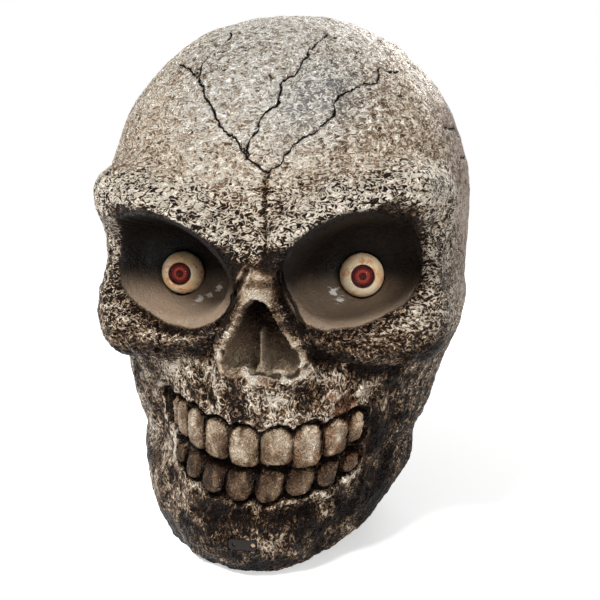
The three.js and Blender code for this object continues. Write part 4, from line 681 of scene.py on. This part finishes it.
# the jaws are mottled; painted light makes the left of the jaw lighter, and painted shade the right darker
cover = cover + on_jaw * (jaw_blotches * (0.3 + 0.7 * front) + 0.16 * ramp(-25, -50, x))
cover = cover - 0.08 * on_jaw * ramp(40, 90, x)
# painted highlight along the cheekbones, stronger on the right
cover = cover + (0.1 + 0.12 * ramp(30, 60, x)) * band(z, 150, 165, 180, 195)
# the rim of the nose has a paint of its own, with a painted highlight along its crest and a ring of painted
# shade outside it
nose_edge = ramp(9, 6, nose_reach) * front * ramp(214, 200, z)
rim_cover = 0.36 + 0.26 * ramp(3.6, 0.4, np.abs(nose_reach - 4.8)) + 0.2 * grain(skin_points, 6, 107.0)
cover = cover * (1 - 0.6 * nose_edge) + nose_edge * rim_cover
cover = cover - 0.4 * ramp(4, 1.5, np.abs(nose_reach - 12)) * front * band(z, 150, 162, 196, 208)
cover = cover - 0.4 * ramp(8, 5, socket_reach) * ramp(196, 182, z) * front
# each tooth has its own tone, and the lower row is darker
upper_row = level > -slit_drop
tooth_key = np.stack([3.1 * np.round(angle * 3.6), np.where(upper_row, 9.0, -9.0), z * 0 + 5], axis=1)
tooth_cover = np.where(upper_row, 0.58, 0.34) + 0.16 * grain(tooth_key, 7.3, 0.4) + 0.26 * crown - 0.1
tooth_cover = tooth_cover + 0.2 * grain(skin_points * np.array([1, 1, 0.5]), 4, 101.0)
cover = cover * (1 - on_tooth) + tooth_cover * on_tooth
# darker between the brows, and painted shade over the right of the forehead
cover = cover - 0.1 * brow_middle - 0.12 * ramp(10, 60, x) * band(z, 240, 256, 300, 330)
# how strongly the paint follows the net of strings
contrast = np.interp(z, contrast_heights, contrast_shares)
contrast = (contrast + 1.9 * brow_crest) * (1 - 0.5 * brow_shadow)
contrast = contrast * (1 - 0.25 * on_jaw * front * ramp(50, 85, np.abs(x))) + 0.3 * on_jaw * (1 - front)
contrast = contrast * (1 - 0.3 * on_side) * (1 - 0.78 * on_tooth)
contrast = contrast * (1 - 0.82 * on_bridge) * (1 - 0.65 * nose_edge)
warm = np.clip(ramp(320, 245, z + 8 * swells) + 0.8 * ramp(35, 85, np.abs(x - 10)), 0, 1)
mark_reach = 9
septum = 0.8 * ramp(3.0, 1.0, am) * ramp(-46, -51, y) * band(z, 140, 147, 168, 178) * (on_nose > 0.05)
tooth_gap = np.where(on_jaw * ramp(-16, -6, out) > 0.02, plan, mark_reach)
slit_gap = np.where(np.abs(angle) < 1.02, np.abs(level + slit_drop) - 2.0, mark_reach)
# the marks handed to the paint; the cover and the socket glints carry painted light and shade
skin_marks = {
    "cover": cover,
    "relief": relief * (1 - smooth) * (1 - 0.75 * on_tooth),
    "crack_gap": np.minimum(cracks, mark_reach),
    "crack_side": np.clip(crack_side, -mark_reach, mark_reach),
    "fold_gap": np.minimum(folds, mark_reach),
    "tooth_gap": np.clip(tooth_gap, -mark_reach, mark_reach),
    "slit_gap": np.minimum(slit_gap, mark_reach),
    "socket_gap": np.clip(socket_reach, -mark_reach, mark_reach),
    "nose_gap": np.clip(nose_reach, -mark_reach, mark_reach),
    "contrast": contrast,
    "warm": warm,
    "height": z,
    "drawn": on_jaw,
    "side": on_side * ramp(150, 200, z),
    "stain": near_pixels(stain_pixels, 9),
    "cool": near_pixels(cool_pixels, 19),
    "socket_glint": near_pixels(socket_glint_pixels, 4.5),
    "septum": septum,
    "skin": np.ones(len(skin_points)),
}
skin_points = skin_points + skin_height[:, None] * skin_normals


# The face shell and the rear shell are two halves of one form, 4 mm thick, screwed together
# behind the widest part. The skin is the form above; inside it stay the CAD's bosses and posts.
def mesh_object(name, points, faces):
    mesh = bpy.data.meshes.new(name)
    mesh.from_pydata(points.tolist(), [], faces)
    mesh.update()
    return add_object(name, mesh)


def choose(piece):
    bpy.ops.object.select_all(action="DESELECT")
    piece.select_set(True)
    bpy.context.view_layer.objects.active = piece


def cut(piece, tool, operation="DIFFERENCE", keep=False):
    choose(piece)
    modifier = piece.modifiers.new(operation.lower(), "BOOLEAN")
    modifier.operation = operation
    modifier.solver = "MANIFOLD"
    modifier.object = tool
    bpy.ops.object.modifier_apply(modifier=modifier.name)
    if not keep:
        bpy.data.objects.remove(tool)


def block(low, high):
    """A cutting block between two corners, in millimetres from the eye plane"""
    low, high = from_eyes(np.array(low, float)), from_eyes(np.array(high, float))
    bpy.ops.mesh.primitive_cube_add(size=1, location=(low + high) / 2, scale=high - low)
    bpy.ops.object.transform_apply(location=True, rotation=False, scale=True)
    return bpy.context.object


def slab(front, back):
    """A cutting block across the whole head"""
    return block((-out_of_reach, front, 0), (out_of_reach, back, out_of_reach))


def bar(axis, radius, start, end, place):
    """A round cutting bar along x or y; place holds the two other coordinates in x, y, z order"""
    centre = list(place)
    centre.insert("xy".index(axis), (start + end) / 2)
    turn = {"x": (0, np.pi / 2, 0), "y": (np.pi / 2, 0, 0)}[axis]
    bpy.ops.mesh.primitive_cylinder_add(vertices=48, radius=radius * mm, depth=(end - start) * mm,
                                        location=from_eyes(np.array(centre, float)), rotation=turn)
    bpy.ops.object.transform_apply()
    return bpy.context.object


def copy_node(name):
    """A merged copy of a CAD node's mesh, to work on"""
    piece = add_object(name + "_copy", nodes[name].data.copy())
    choose(piece)
    bpy.ops.object.mode_set(mode="EDIT")
    bpy.ops.mesh.select_all(action="SELECT")
    bpy.ops.mesh.remove_doubles(threshold=1e-6)
    bpy.ops.object.mode_set(mode="OBJECT")
    return piece


def carve_core(depth):
    """What lies deeper than this below the skin"""
    points, faces = cast_head(120, 90, level=-depth, detail=False)
    return mesh_object("core", from_eyes(points), faces)


def centre_of(name):
    low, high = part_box(name)
    return to_eyes((low + high) / 2)


def line_with(piece, node):
    """Gives a piece of skin the inside of its CAD node: walls, bosses, posts and screw holes"""
    inside = copy_node(node)
    cut(inside, inner_core, "INTERSECT", keep=True)
    cut(piece, inside, "UNION")


skin_depth, lining_start = 2.2, 1.7
seam_gap = 0.2
out_of_reach = 400.0
eye_hole_radius, eye_hole_front, eye_hole_depth = 15.7, -68, 45.0
pocket_gap = 0.4
tunnel_radius = 3.3
screw_seat = 8.0

head = mesh_object("head", from_eyes(skin_points), skin_faces)
cut(head, carve_core(skin_depth))
inner_core = carve_core(lining_start)

face = add_object("skull_face", head.data.copy())
cut(face, slab(-out_of_reach, seam_back - seam_gap), "INTERSECT")
line_with(face, "face_shell")
for name in ("left_eye_axle", "right_eye_axle"):
    eye_x, _, eye_z = centre_of(name)
    cut(face, bar("y", eye_hole_radius, eye_hole_front, eye_hole_depth, (eye_x, eye_z)))
pocket_low, pocket_high = [to_eyes(corner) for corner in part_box("sensor_bezel")]
cut(face, block((pocket_low[0] - pocket_gap, -out_of_reach, pocket_low[2] - pocket_gap),
                (pocket_high[0] + pocket_gap, pocket_high[1], pocket_high[2] + pocket_gap)))

rear = add_object("skull_rear", head.data.copy())
cut(rear, slab(seam_back + seam_gap, out_of_reach), "INTERSECT")
line_with(rear, "rear_shell")
for i in range(4):
    screw_x, _, screw_z = centre_of(f"shell_screw_{i + 1}")
    cut(rear, bar("y", tunnel_radius, seam_back + screw_seat, out_of_reach, (screw_x, screw_z)))


# The battery door is cut from the rear shell low at the back and swings on a pin along its lower
# edge. Two knuckles are on the door and one on the shell, between them.
door_half, door_bottom, door_top, door_gap = 33.0, 12.0, 60.0, 0.5
door_room = 30.0
knuckle_radius, knuckle_clearance = 2.8, 1.0
pin_bore = 1.35
knuckle_start, knuckle_end = 20.0, 30.0
hinge = centre_of("door_hinge_pin")[1:]


def door_space(inset):
    return block((-door_half + inset, hinge[0] - door_room, door_bottom + inset),
                 (door_half - inset, out_of_reach, door_top - inset))


door = add_object("skull_door", head.data.copy())
cut(door, door_space(door_gap), "INTERSECT")
line_with(door, "battery_door")
cut(door, bar("x", knuckle_radius + knuckle_clearance, -knuckle_start, knuckle_start, hinge))
cut(rear, door_space(0))
for side in (-1, 1):
    ends = sorted((side * knuckle_start, side * knuckle_end))
    room = sorted((side * (knuckle_start - door_gap), side * door_half))
    cut(rear, bar("x", knuckle_radius + knuckle_clearance, *room, hinge))
    cut(door, bar("x", knuckle_radius, *ends, hinge), "UNION")
cut(rear, bar("x", knuckle_radius, door_gap - knuckle_start, knuckle_start - door_gap, hinge), "UNION")
for piece in (rear, door):
    cut(piece, bar("x", pin_bore, -door_half - 2, door_half + 2, hinge))
bpy.data.objects.remove(head)
bpy.data.objects.remove(inner_core)


# Both shells and the door wear one finish: a near-black coat, dry-brushed with silvery cream on
# all that stands up, with painted shade in the hollows and under the brows and painted light on what
# faces up. The raw plastic inside stays black.
skin_reach = 0.0009
skin_tree = kdtree.KDTree(len(skin_points))
for i, point in enumerate(from_eyes(skin_points)):
    skin_tree.insert(point, i)
skin_tree.balance()


def mark_skin(piece):
    """Gives a piece the marks of the nearest skin, and none where it was cut"""
    found = [skin_tree.find(vertex.co) for vertex in piece.data.vertices]
    index = np.array([item[1] for item in found])
    off_skin = np.array([item[2] for item in found]) > skin_reach
    for name, values in skin_marks.items():
        marks = piece.data.attributes.new(name, "FLOAT", "POINT")
        marks.data.foreach_set("value", np.where(off_skin, 0, values[index]).astype(np.float32))


def fit(value, low, high, start=0.0, end=1.0):
    """A smooth step from start to end as the value goes from low to high"""
    return add_node(value.tree, "MapRange", 0, {"interpolation_type": "SMOOTHSTEP"}, Value=value,
                    From_Min=low, From_Max=high, To_Min=start, To_Max=end)


def ridge(gap, start, full, last, end):
    return fit(gap, start, full) * fit(gap, end, last)


def tint(share, under, over):
    return add_node(share.tree, "Mix", 2, {"data_type": "RGBA"}, _0=share, _6=under, _7=over)


def coats_at(value, stops):
    """A colour that passes from stop to stop as the value rises"""
    node = value.tree.nodes.new("ShaderNodeValToRGB")
    plug(node, _0=value)
    while len(node.color_ramp.elements) < len(stops):
        node.color_ramp.elements.new(1.0)
    for element, (place, colour) in zip(node.color_ramp.elements, stops):
        element.position = place
        element.color = colour
    return Signal(node.outputs[0])


def noise(tree, scale, detail=3.0, roughness=0.55, distortion=0.0, stretch=(1, 1, 1)):
    place = add_node(tree, "Mapping", Vector=add_node(tree, "TexCoord", "Object"), Scale=stretch)
    return add_node(tree, "TexNoise", "Fac", Vector=place, Scale=scale, Detail=detail,
                    Roughness=roughness, Distortion=distortion)


def thread(tree, scale, width, distortion, stretch=(1, 1, 1)):
    """Thin tangled crests, 1 on the crest and 0 away from it"""
    waves = noise(tree, scale, 1, 0.45, distortion, stretch)
    return fit(calculate("ABSOLUTE", waves - 0.5), 0.0, width, 1.0, 0.0)


def bump(height, distance, strength):
    return add_node(height.tree, "Bump", Height=height, Distance=distance, Strength=strength)


def dress(piece, paint, sharpest):
    choose(piece)
    bpy.ops.object.shade_smooth_by_angle(angle=np.radians(sharpest))
    piece.data.materials.clear()
    piece.data.materials.append(paint)


coat_black = (0.008, 0.004, 0.0025, 1)
crown_coats = ((0.08, coat_black), (0.28, (0.075, 0.052, 0.036, 1)), (0.54, (0.29, 0.23, 0.17, 1)),
               (0.8, (0.62, 0.53, 0.43, 1)), (1.0, (0.88, 0.85, 0.79, 1)))
face_coats = ((0.08, coat_black), (0.28, (0.052, 0.026, 0.013, 1)), (0.54, (0.22, 0.138, 0.080, 1)),
              (0.8, (0.60, 0.46, 0.325, 1)), (1.0, (0.90, 0.81, 0.68, 1)))
# inside the nose hole: pale at the floor and black towards the top, which is painted light below and painted
# shade above
nose_pale = (0.42, 0.32, 0.22, 1)
nose_paint_and_shade = ((0.0, nose_pale), (0.32, (0.21, 0.14, 0.092, 1)), (0.74, (0.085, 0.052, 0.034, 1)),
              (1.0, coat_black))
nose_low, nose_high = 140.0, 180.0
# silver also serves the painted highlights in the sockets
silver = (0.84, 0.80, 0.74, 1)
cool_grey = (0.17, 0.19, 0.21, 1)
side_pink = (0.37, 0.255, 0.21, 1)
# inside the sockets: near-black towards the top, partly dark paint and partly painted shade under the brows,
# and taupe low down
socket_dark = (0.007, 0.005, 0.004, 1)
socket_taupe = (0.215, 0.155, 0.108, 1)
socket_low, socket_high = 182.0, 209.0
rust = (0.32, 0.12, 0.045, 1)
raw_plastic = (0.02, 0.02, 0.022, 1)
drawn_across = (0.8, 0.8, 1.25)
drawn_down = (1, 1, 0.68)

skull_paint, tree, shader = new_material("skull_paint")
marks = {name: add_node(tree, "Attribute", "Fac", {"attribute_name": name}) for name in skin_marks}
fine_noise = noise(tree, 900, 4, 0.6)
patch_noise = noise(tree, 24, 4, 0.6)
drawn = marks["drawn"]
net = between(drawn, thread(tree, 250, 0.15, 1.4, drawn_across), thread(tree, 225, 0.15, 1.5, drawn_down))
hairs = between(drawn, thread(tree, 430, 0.15, 1.4, drawn_across), thread(tree, 400, 0.12, 1.4, drawn_down))
pores = fit(noise(tree, 300, 1, 0.5, 0.3), 0.34, 0.43, 1.0, 0.0)
height = net * 0.62 + hairs * 0.26 + marks["relief"] * 0.32 + fine_noise * 0.07 - pores * 0.28

tooth_line = ridge(marks["tooth_gap"], -0.7, 0.5, 1.8, 3.4)
tooth_lip = ridge(marks["tooth_gap"], 2.2, 3.6, 4.2, 6.0)
slit_line = fit(marks["slit_gap"], 0.6, -0.6) * fit(marks["tooth_gap"], 0.0, 0.6)
ragged_gap = calculate("ABSOLUTE", marks["crack_side"]) + (fine_noise - 0.5) * 0.7
crack_line = fit(ragged_gap, 1.05, 0.5) * fit(marks["crack_gap"], 2.6, 1.8)
crack_lip = ridge(ragged_gap, 1.5, 2.3, 2.6, 4.2)
fold_line = fit(marks["fold_gap"], 2.0, 0.8)
fold_lip = ridge(marks["fold_gap"], 1.8, 2.8, 3.2, 4.6)
# painted shade: dark lines in the cracks, folds, grooves round the teeth and the slit between the rows
dark_line = calculate("MAXIMUM", crack_line, tooth_line * 0.9)
dark_line = calculate("MAXIMUM", dark_line, slit_line)
dark_line = calculate("MAXIMUM", dark_line, fold_line * 0.85)

# how light each place is painted: the strings, the paint marks, and the painted light and shade carried in
# the cover
rubbed_and_lit = (height - 0.42) * marks["contrast"] + marks["cover"] + (patch_noise - 0.5) * 0.55
rubbed_and_lit = rubbed_and_lit + crack_lip * 0.08 + (fold_lip + tooth_lip) * 0.25
colour = tint(marks["warm"], coats_at(rubbed_and_lit, crown_coats), coats_at(rubbed_and_lit, face_coats))
colour = tint(marks["side"] * 0.42, colour, side_pink)
colour = tint(marks["cool"] * fit(rubbed_and_lit, 0.95, 0.6, 0.0, 0.75), colour, cool_grey)
colour = tint(marks["stain"] * fit(noise(tree, 170), 0.44, 0.6) * 0.6, colour, rust)

gloss_zone = fit(marks["socket_gap"] + fine_noise, 3.4, 2.2)
# darker towards the top of each socket: partly dark paint, partly painted shade under the brow
socket_share = fit(marks["height"] + patch_noise * 12.0, socket_low, socket_high)
socket_colour = tint(socket_share, socket_taupe, socket_dark)
# painted highlights: small silver glints in the sockets beside the eyes
streaks = noise(tree, 420, 3, 0.5, 0.3, (0.4, 1, 1.3))
socket_glint = fit(marks["socket_glint"] + (streaks - 0.5) * 2.0, 0.5, 0.9)
colour = tint(gloss_zone, colour, tint(socket_glint * 0.8, socket_colour, silver))

nose_zone = fit(marks["nose_gap"] + fine_noise, 2.6, 1.4)
# inside the nose hole: pale at the floor, black towards the top, which is painted light below and painted
# shade above
nose_colour = coats_at(fit(marks["height"] - (height - 0.3) * 9.0, nose_low, nose_high), nose_paint_and_shade)
colour = tint(nose_zone, colour, tint(marks["septum"], nose_colour, nose_pale))
colour = tint(marks["skin"], raw_plastic, tint(dark_line, colour, coat_black))
embossed = height * fit(gloss_zone, 0.0, 1.0, 1.0, 0.08) - dark_line * 1.4
plug(shader, Base_Color=colour, Specular_IOR_Level=0.16, Roughness=fit(rubbed_and_lit, 0.1, 1.0, 0.3, 0.34),
     Metallic=fit(rubbed_and_lit, 0.75, 1.05, 0.0, 0.3), Normal=bump(embossed, 0.005, 1.0))

for piece, node, body in ((face, "face_shell", "housing"), (rear, "rear_shell", "housing"),
                          (door, "battery_door", "battery_door")):
    mark_skin(piece)
    dress(piece, skull_paint, 60)
    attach(piece, body)
    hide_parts(node)


# The eyeballs are cream balls, open at the back, each turning on an upright steel axle. A printed iris
# sits in a round pocket at the front under a clear glossy dome, and a lever behind takes the tie bar.
ball_radius, ball_wall = 15.0, 1.8
ball_cut = 7.0
iris_radius, iris_low, iris_high = 7.8, 11.5, 12.3
iris_rings = ((0.5, 0.0), (2.4, 0.12), (2.2, 0.16), (1.0, 0.06))
pocket_radius, pocket_floor = 8.1, 11.2
dome_low, dome_rise = 12.6, 3.4
axle_bore = 1.35
look_aside = np.radians(7.7)
look_up = np.radians(-3.8)
eye_cream = (0.88, 0.60, 0.32, 1)
eye_pale = (0.95, 0.80, 0.56, 1)
vein_red = (0.50, 0.09, 0.025, 1)
vein_orange = (0.72, 0.24, 0.045, 1)
pupil_green = (0.008, 0.013, 0.009, 1)
iris_edge = (0.004, 0.002, 0.002, 1)
iris_red = (0.12, 0.012, 0.009, 1)
iris_light = (0.34, 0.042, 0.022, 1)
iris_print = ((0.0, pupil_green), (0.14, iris_edge), (0.30, iris_edge), (0.37, iris_light),
              (0.46, iris_light), (0.60, iris_red), (0.74, iris_edge))


def ball_of(radius, segments, rings):
    bpy.ops.mesh.primitive_uv_sphere_add(segments=segments, ring_count=rings, radius=radius * mm)
    return bpy.context.object


def block_behind(front, half, centre=Vector((0, 0, 0))):
    """A cutting block that starts this far behind the centre of an eye"""
    bpy.ops.mesh.primitive_cube_add(size=2 * half * mm, location=centre + Vector((0, (front + half) * mm, 0)))
    return bpy.context.object


def disc(radius, low, high):
    """A disc facing forward, between two distances in front of the centre of an eye"""
    bpy.ops.mesh.primitive_cylinder_add(vertices=96, radius=radius * mm, depth=(high - low) * mm,
                                        location=(0, -(low + high) / 2 * mm, 0), rotation=(np.pi / 2, 0, 0))
    bpy.ops.object.transform_apply()
    return bpy.context.object


def settle(piece, place):
    """Puts a piece modelled at the origin in its place, with the place in its mesh"""
    piece.data.transform(place)
    piece.data.update()


def sink_face(piece):
    """Dishes the front of the iris towards the pupil, ring by ring"""
    bpy.ops.object.mode_set(mode="EDIT")
    bpy.ops.mesh.select_all(action="DESELECT")
    bpy.ops.object.mode_set(mode="OBJECT")
    for polygon in piece.data.polygons:
        polygon.select = polygon.normal.y < -0.9
    bpy.ops.object.mode_set(mode="EDIT")
    for inset, sink in iris_rings:
        bpy.ops.mesh.inset(thickness=inset * mm, depth=0)
        bpy.ops.transform.translate(value=(0, sink * mm, 0))
    bpy.ops.object.mode_set(mode="OBJECT")


def mark_gaze(piece):
    """Marks each point, still at the origin, with its place across the gaze in millimetres"""
    marks = piece.data.attributes.new("gaze_place", "FLOAT_VECTOR", "POINT")
    marks.data.foreach_set("vector", np.array([vertex.co / mm for vertex in piece.data.vertices]).ravel())


eye_paint, tree, shader = new_material("eye_paint")
spot_noise = noise(tree, 190, 4, 0.6, 0.5)
here = fit(noise(tree, 95, 2), 0.40, 0.56)
cream = tint(fit(noise(tree, 60), 0.38, 0.62), eye_cream, eye_pale)
colour = tint(fit(spot_noise, 0.5, 0.66) * here * 0.8, cream, vein_orange)
colour = tint(thread(tree, 130, 0.03, 2.4) * here * 0.9, colour, vein_red)
plug(shader, Base_Color=colour, Roughness=fit(spot_noise, 0.3, 0.7, 0.2, 0.34),
     Normal=bump(spot_noise, 0.0002, 0.25))

iris_paint, tree, shader = new_material("iris_paint")
gaze_place = add_node(tree, "Attribute", "Vector", {"attribute_name": "gaze_place"})
across = add_node(tree, "VectorMath", 0, {"operation": "MULTIPLY"}, _0=gaze_place, _1=(1, 0, 1))
spoke = add_node(tree, "VectorMath", 0, {"operation": "NORMALIZE"}, _0=across)
fibres = add_node(tree, "TexNoise", "Fac", Vector=spoke, Scale=11, Detail=4, Roughness=0.7)
ring = add_node(tree, "VectorMath", "Value", {"operation": "LENGTH"}, _0=across) + (fibres - 0.5) * 0.7
colour = coats_at(calculate("DIVIDE", ring, iris_radius), iris_print)
colour = tint(fit(fibres, 0.62, 0.40, 0.0, 0.5), colour, iris_red)
plug(shader, Base_Color=colour, Specular_IOR_Level=0.05, Roughness=fit(fibres, 0.3, 0.7, 0.28, 0.42),
     Normal=bump(fibres, 0.0001, 0.3))

clear_dome, tree, shader = new_material("clear_dome")
plug(shader, Base_Color=(1, 1, 1, 1), Transmission_Weight=1.0, IOR=1.18, Alpha=0.5,
     Roughness=fit(noise(tree, 300, 2), 0.3, 0.7, 0.02, 0.05))

for side in ("left", "right"):
    middle = Vector(from_eyes(centre_of(f"{side}_eye_axle")))
    place = Matrix.Translation(middle) @ Matrix.Rotation(look_aside, 4, "Z")
    gaze = place @ Matrix.Rotation(look_up, 4, "X")

    bpy.ops.object.select_all(action="DESELECT")
    ball = ball_of(ball_radius, 96, 64)
    ball.name = f"{side}_eye_ball"
    hollow_ball = ball_of(ball_radius - ball_wall, 48, 32)
    cut(hollow_ball, block_behind(2 * ball_wall - pocket_floor, ball_radius), "INTERSECT")
    cut(ball, hollow_ball)
    cut(ball, block_behind(ball_cut, 2 * ball_radius))
    pocket = disc(pocket_radius, pocket_floor, pocket_floor + ball_radius)
    settle(pocket, Matrix.Rotation(look_up, 4, "X"))
    cut(ball, pocket)
    bpy.ops.mesh.primitive_cylinder_add(vertices=32, radius=axle_bore * mm, depth=3 * ball_radius * mm)
    cut(ball, bpy.context.object)
    settle(ball, place)
    lever = copy_node(f"{side}_eyeball")
    cut(lever, block_behind(ball_cut - ball_wall, ball_radius, middle), "INTERSECT")
    cut(ball, lever, "UNION")

    iris = disc(iris_radius, iris_low, iris_high)
    iris.name = f"{side}_eye_iris"
    sink_face(iris)
    mark_gaze(iris)
    settle(iris, gaze)

    dome = ball_of(iris_radius, 64, 48)
    dome.name = f"{side}_eye_dome"
    settle(dome, Matrix.Diagonal((1, dome_rise / iris_radius, 1, 1)))
    cut(dome, block_behind(0, ball_radius))
    settle(dome, gaze @ Matrix.Translation((0, -dome_low * mm, 0)))

    for piece, node, paint, slot in ((ball, "eyeball", eye_paint, "eye_cream"),
                                     (iris, "iris", iris_paint, "iris_brown"),
                                     (dome, "cornea", clear_dome, "cornea_clear")):
        dress(piece, paint, 35)
        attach(piece, f"{side}_eye")
        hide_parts(f"{side}_{node}")


# Everything plastic in the works is injection moulded, with a fine spark-eroded grain, faint flow
# marks and a little rubbing. One group gives that grain to every moulded finish.
def new_group(name, values, outputs):
    group = bpy.data.node_groups.new(name, "ShaderNodeTree")
    for key, value in values.items():
        group.interface.new_socket(key, in_out="INPUT", socket_type="NodeSocketFloat").default_value = value
    for key in outputs:
        group.interface.new_socket(key, in_out="OUTPUT", socket_type="NodeSocketFloat")
    inlet = group.nodes.new("NodeGroupInput")
    return group, {key: Signal(inlet.outputs[key]) for key in values}, group.nodes.new("NodeGroupOutput")


def use_group(tree, group, **values):
    node = tree.nodes.new("ShaderNodeGroup")
    node.node_tree = group
    plug(node, **values)
    return {output.name: Signal(output) for output in node.outputs}


def wear(paint, *names):
    """Puts a finish on CAD nodes that stay"""
    for name in names:
        for slot in nodes[name].material_slots:
            slot.material = paint


moulded, scale_of, outlet = new_group("moulded_grain", {"Grain": 1400.0, "Flow": 45.0}, ("Shade", "Height"))
grain_spots = noise(moulded, scale_of["Grain"], 2, 0.5)
flow_marks = noise(moulded, scale_of["Flow"], 4, 0.5, 1.5)
plug(outlet, Shade=grain_spots * 0.35 + flow_marks * 0.65, Height=grain_spots)


def moulded_plastic(name, on, dark, light, smoothest, roughest, grain=1400.0):
    paint, tree, shader = new_material(name)
    surface = use_group(tree, moulded, Grain=grain)
    plug(shader, Base_Color=tint(fit(surface["Shade"], 0.38, 0.62), dark, light), Specular_IOR_Level=0.3,
         Roughness=fit(surface["Shade"], 0.35, 0.65, smoothest, roughest),
         Normal=bump(surface["Height"], 0.00006, 0.6))
    wear(paint, *on)


moulded_plastic("frame_grey", ("eye_chassis", "gear_cover"),
                (0.085, 0.088, 0.092, 1), (0.125, 0.128, 0.13, 1), 0.48, 0.62)
moulded_plastic("gear_white", ("tie_bar", "crank_gear", "compound_gear", "motor_pinion"),
                (0.62, 0.59, 0.50, 1), (0.74, 0.71, 0.63, 1), 0.32, 0.46, 700.0)


# Screws, pins, the motor can and the battery contacts are drawn or rolled metal, with fine lines along
# the part and dull patches where fingers and tools have been. One group gives that wear.
worn, scale_of, outlet = new_group("metal_wear", {"Lines": 900.0, "Patches": 120.0},
                                   ("Shade", "Dull", "Height"))
line_marks = noise(worn, scale_of["Lines"], 3, 0.5, 0.0, (1, 1, 0.08))
dull_patches = noise(worn, scale_of["Patches"], 4, 0.5)
plug(outlet, Shade=line_marks * 0.6 + dull_patches * 0.4, Dull=dull_patches, Height=line_marks)


def bare_metal(name, on, dark, light, smoothest, roughest, lines=900.0):
    paint, tree, shader = new_material(name)
    surface = use_group(tree, worn, Lines=lines)
    plug(shader, Base_Color=tint(fit(surface["Shade"], 0.35, 0.65), dark, light), Metallic=1.0,
         Roughness=fit(surface["Dull"], 0.35, 0.65, smoothest, roughest),
         Normal=bump(surface["Height"], 0.00002, 0.4))
    wear(paint, *on)


screws = [name for name in nodes if "_screw_" in name]
bare_metal("steel", (*screws, "door_hinge_pin", "gear_pin", "left_eye_axle", "right_eye_axle"),
           (0.32, 0.31, 0.30, 1), (0.52, 0.52, 0.53, 1), 0.24, 0.46)
bare_metal("motor_can", ("eye_motor",), (0.42, 0.42, 0.42, 1), (0.6, 0.6, 0.61, 1), 0.2, 0.38, 500.0)
bare_metal("contact_metal", ("contact_strip_left", "contact_strip_right"),
           (0.55, 0.55, 0.56, 1), (0.72, 0.72, 0.73, 1), 0.14, 0.3)


# The sensor looks out of a rounded black plate let into the chin: a dark lens on the left, a small
# pale lamp on the right, both on a green board held behind by two screws.
def grained_material(name, on, grain, dark, light, smoothest, roughest):
    """A finish begun with the moulded grain, its colour still to be marked and plugged in"""
    material, tree, shader = new_material(name)
    shade = use_group(tree, moulded, Grain=grain)["Shade"]
    plug(shader, Roughness=fit(shade, 0.35, 0.65, smoothest, roughest))
    wear(material, *on)
    spot = add_node(tree, "TexCoord", "Object")
    return shader, spot, tint(fit(shade, 0.35, 0.65), dark, light)


moulded_plastic("gloss_black", ("sensor_bezel", "power_switch", "switch_slider"),
                (0.007, 0.005, 0.004, 1), (0.016, 0.011, 0.009, 1), 0.34, 0.5, 900.0)
moulded_plastic("sensor_dark", ("motion_sensor",), (0.010, 0.009, 0.012, 1), (0.035, 0.022, 0.02, 1),
                0.08, 0.2, 600.0)
moulded_plastic("lamp_pale", ("sensor_lamp",), (0.42, 0.30, 0.17, 1), (0.66, 0.54, 0.38, 1), 0.1, 0.25, 600.0)
track_green = (0.05, 0.22, 0.09, 1)
track_width = 0.35
shader, spot, lacquer = grained_material("board_green", ("sensor_board", "control_board"), 1100.0,
                                         (0.012, 0.06, 0.03, 1), (0.02, 0.10, 0.045, 1), 0.26, 0.4)
turned = add_node(spot.tree, "Mapping", Vector=spot, Rotation=(np.radians(90), 0, 0), Scale=(90, 90, 90))
tracks = add_node(spot.tree, "TexBrick", "Fac", {"offset": 0.37}, Vector=turned, Scale=1.0,
                  Mortar_Size=0.035, Brick_Width=track_width * 2.2, Row_Height=track_width)
plug(shader, Base_Color=tint(tracks, lacquer, track_green), Normal=bump(tracks, 0.00005, 0.6))


# The base closes the head from below: a black tray with the speaker's slots, and the battery box
# behind it, with three jacketed cells between plated contact strips.
moulded_plastic("tray_black", ("base_plate", "battery_box"),
                (0.022, 0.022, 0.024, 1), (0.038, 0.037, 0.038, 1), 0.5, 0.68)
band_gold = (0.55, 0.36, 0.16, 1)
band_start = 0.0155
shader, spot, jacket = grained_material("cell_jacket", ("battery_1", "battery_2", "battery_3"), 500.0,
                                        (0.02, 0.03, 0.05, 1), (0.035, 0.05, 0.075, 1), 0.22, 0.36)
along = add_node(spot.tree, "SeparateXYZ", "X", Vector=spot)
banded = fit(calculate("ABSOLUTE", along), band_start, band_start + 0.0003)
plug(shader, Base_Color=tint(banded, jacket, band_gold), Metallic=banded * 0.7)


# The speaker has a pressed frame and a ribbed paper cone, seen only through the slots in the base.
shader, spot, paper = grained_material("speaker_black", ("speaker",), 800.0,
                                       (0.02, 0.02, 0.02, 1), (0.045, 0.043, 0.04, 1), 0.6, 0.8)
centred = add_node(spot.tree, "Mapping", Vector=spot, Location=-from_eyes(centre_of("speaker")))
ribs = add_node(spot.tree, "TexWave", "Fac", {"wave_type": "RINGS", "rings_direction": "Z"},
                Vector=centred, Scale=130, Distortion=0.4)
plug(shader, Base_Color=paper, Normal=bump(ribs, 0.0002, 0.5))


# The leads are stranded wire in soft insulation, red for supply and black for signal.
moulded_plastic("lead_red", ("motor_lead", "switch_lead", "battery_lead"),
                (0.28, 0.012, 0.01, 1), (0.42, 0.03, 0.02, 1), 0.34, 0.5, 700.0)
moulded_plastic("lead_black", ("sensor_lead", "speaker_lead"),
                (0.015, 0.015, 0.016, 1), (0.03, 0.03, 0.03, 1), 0.34, 0.5, 700.0)
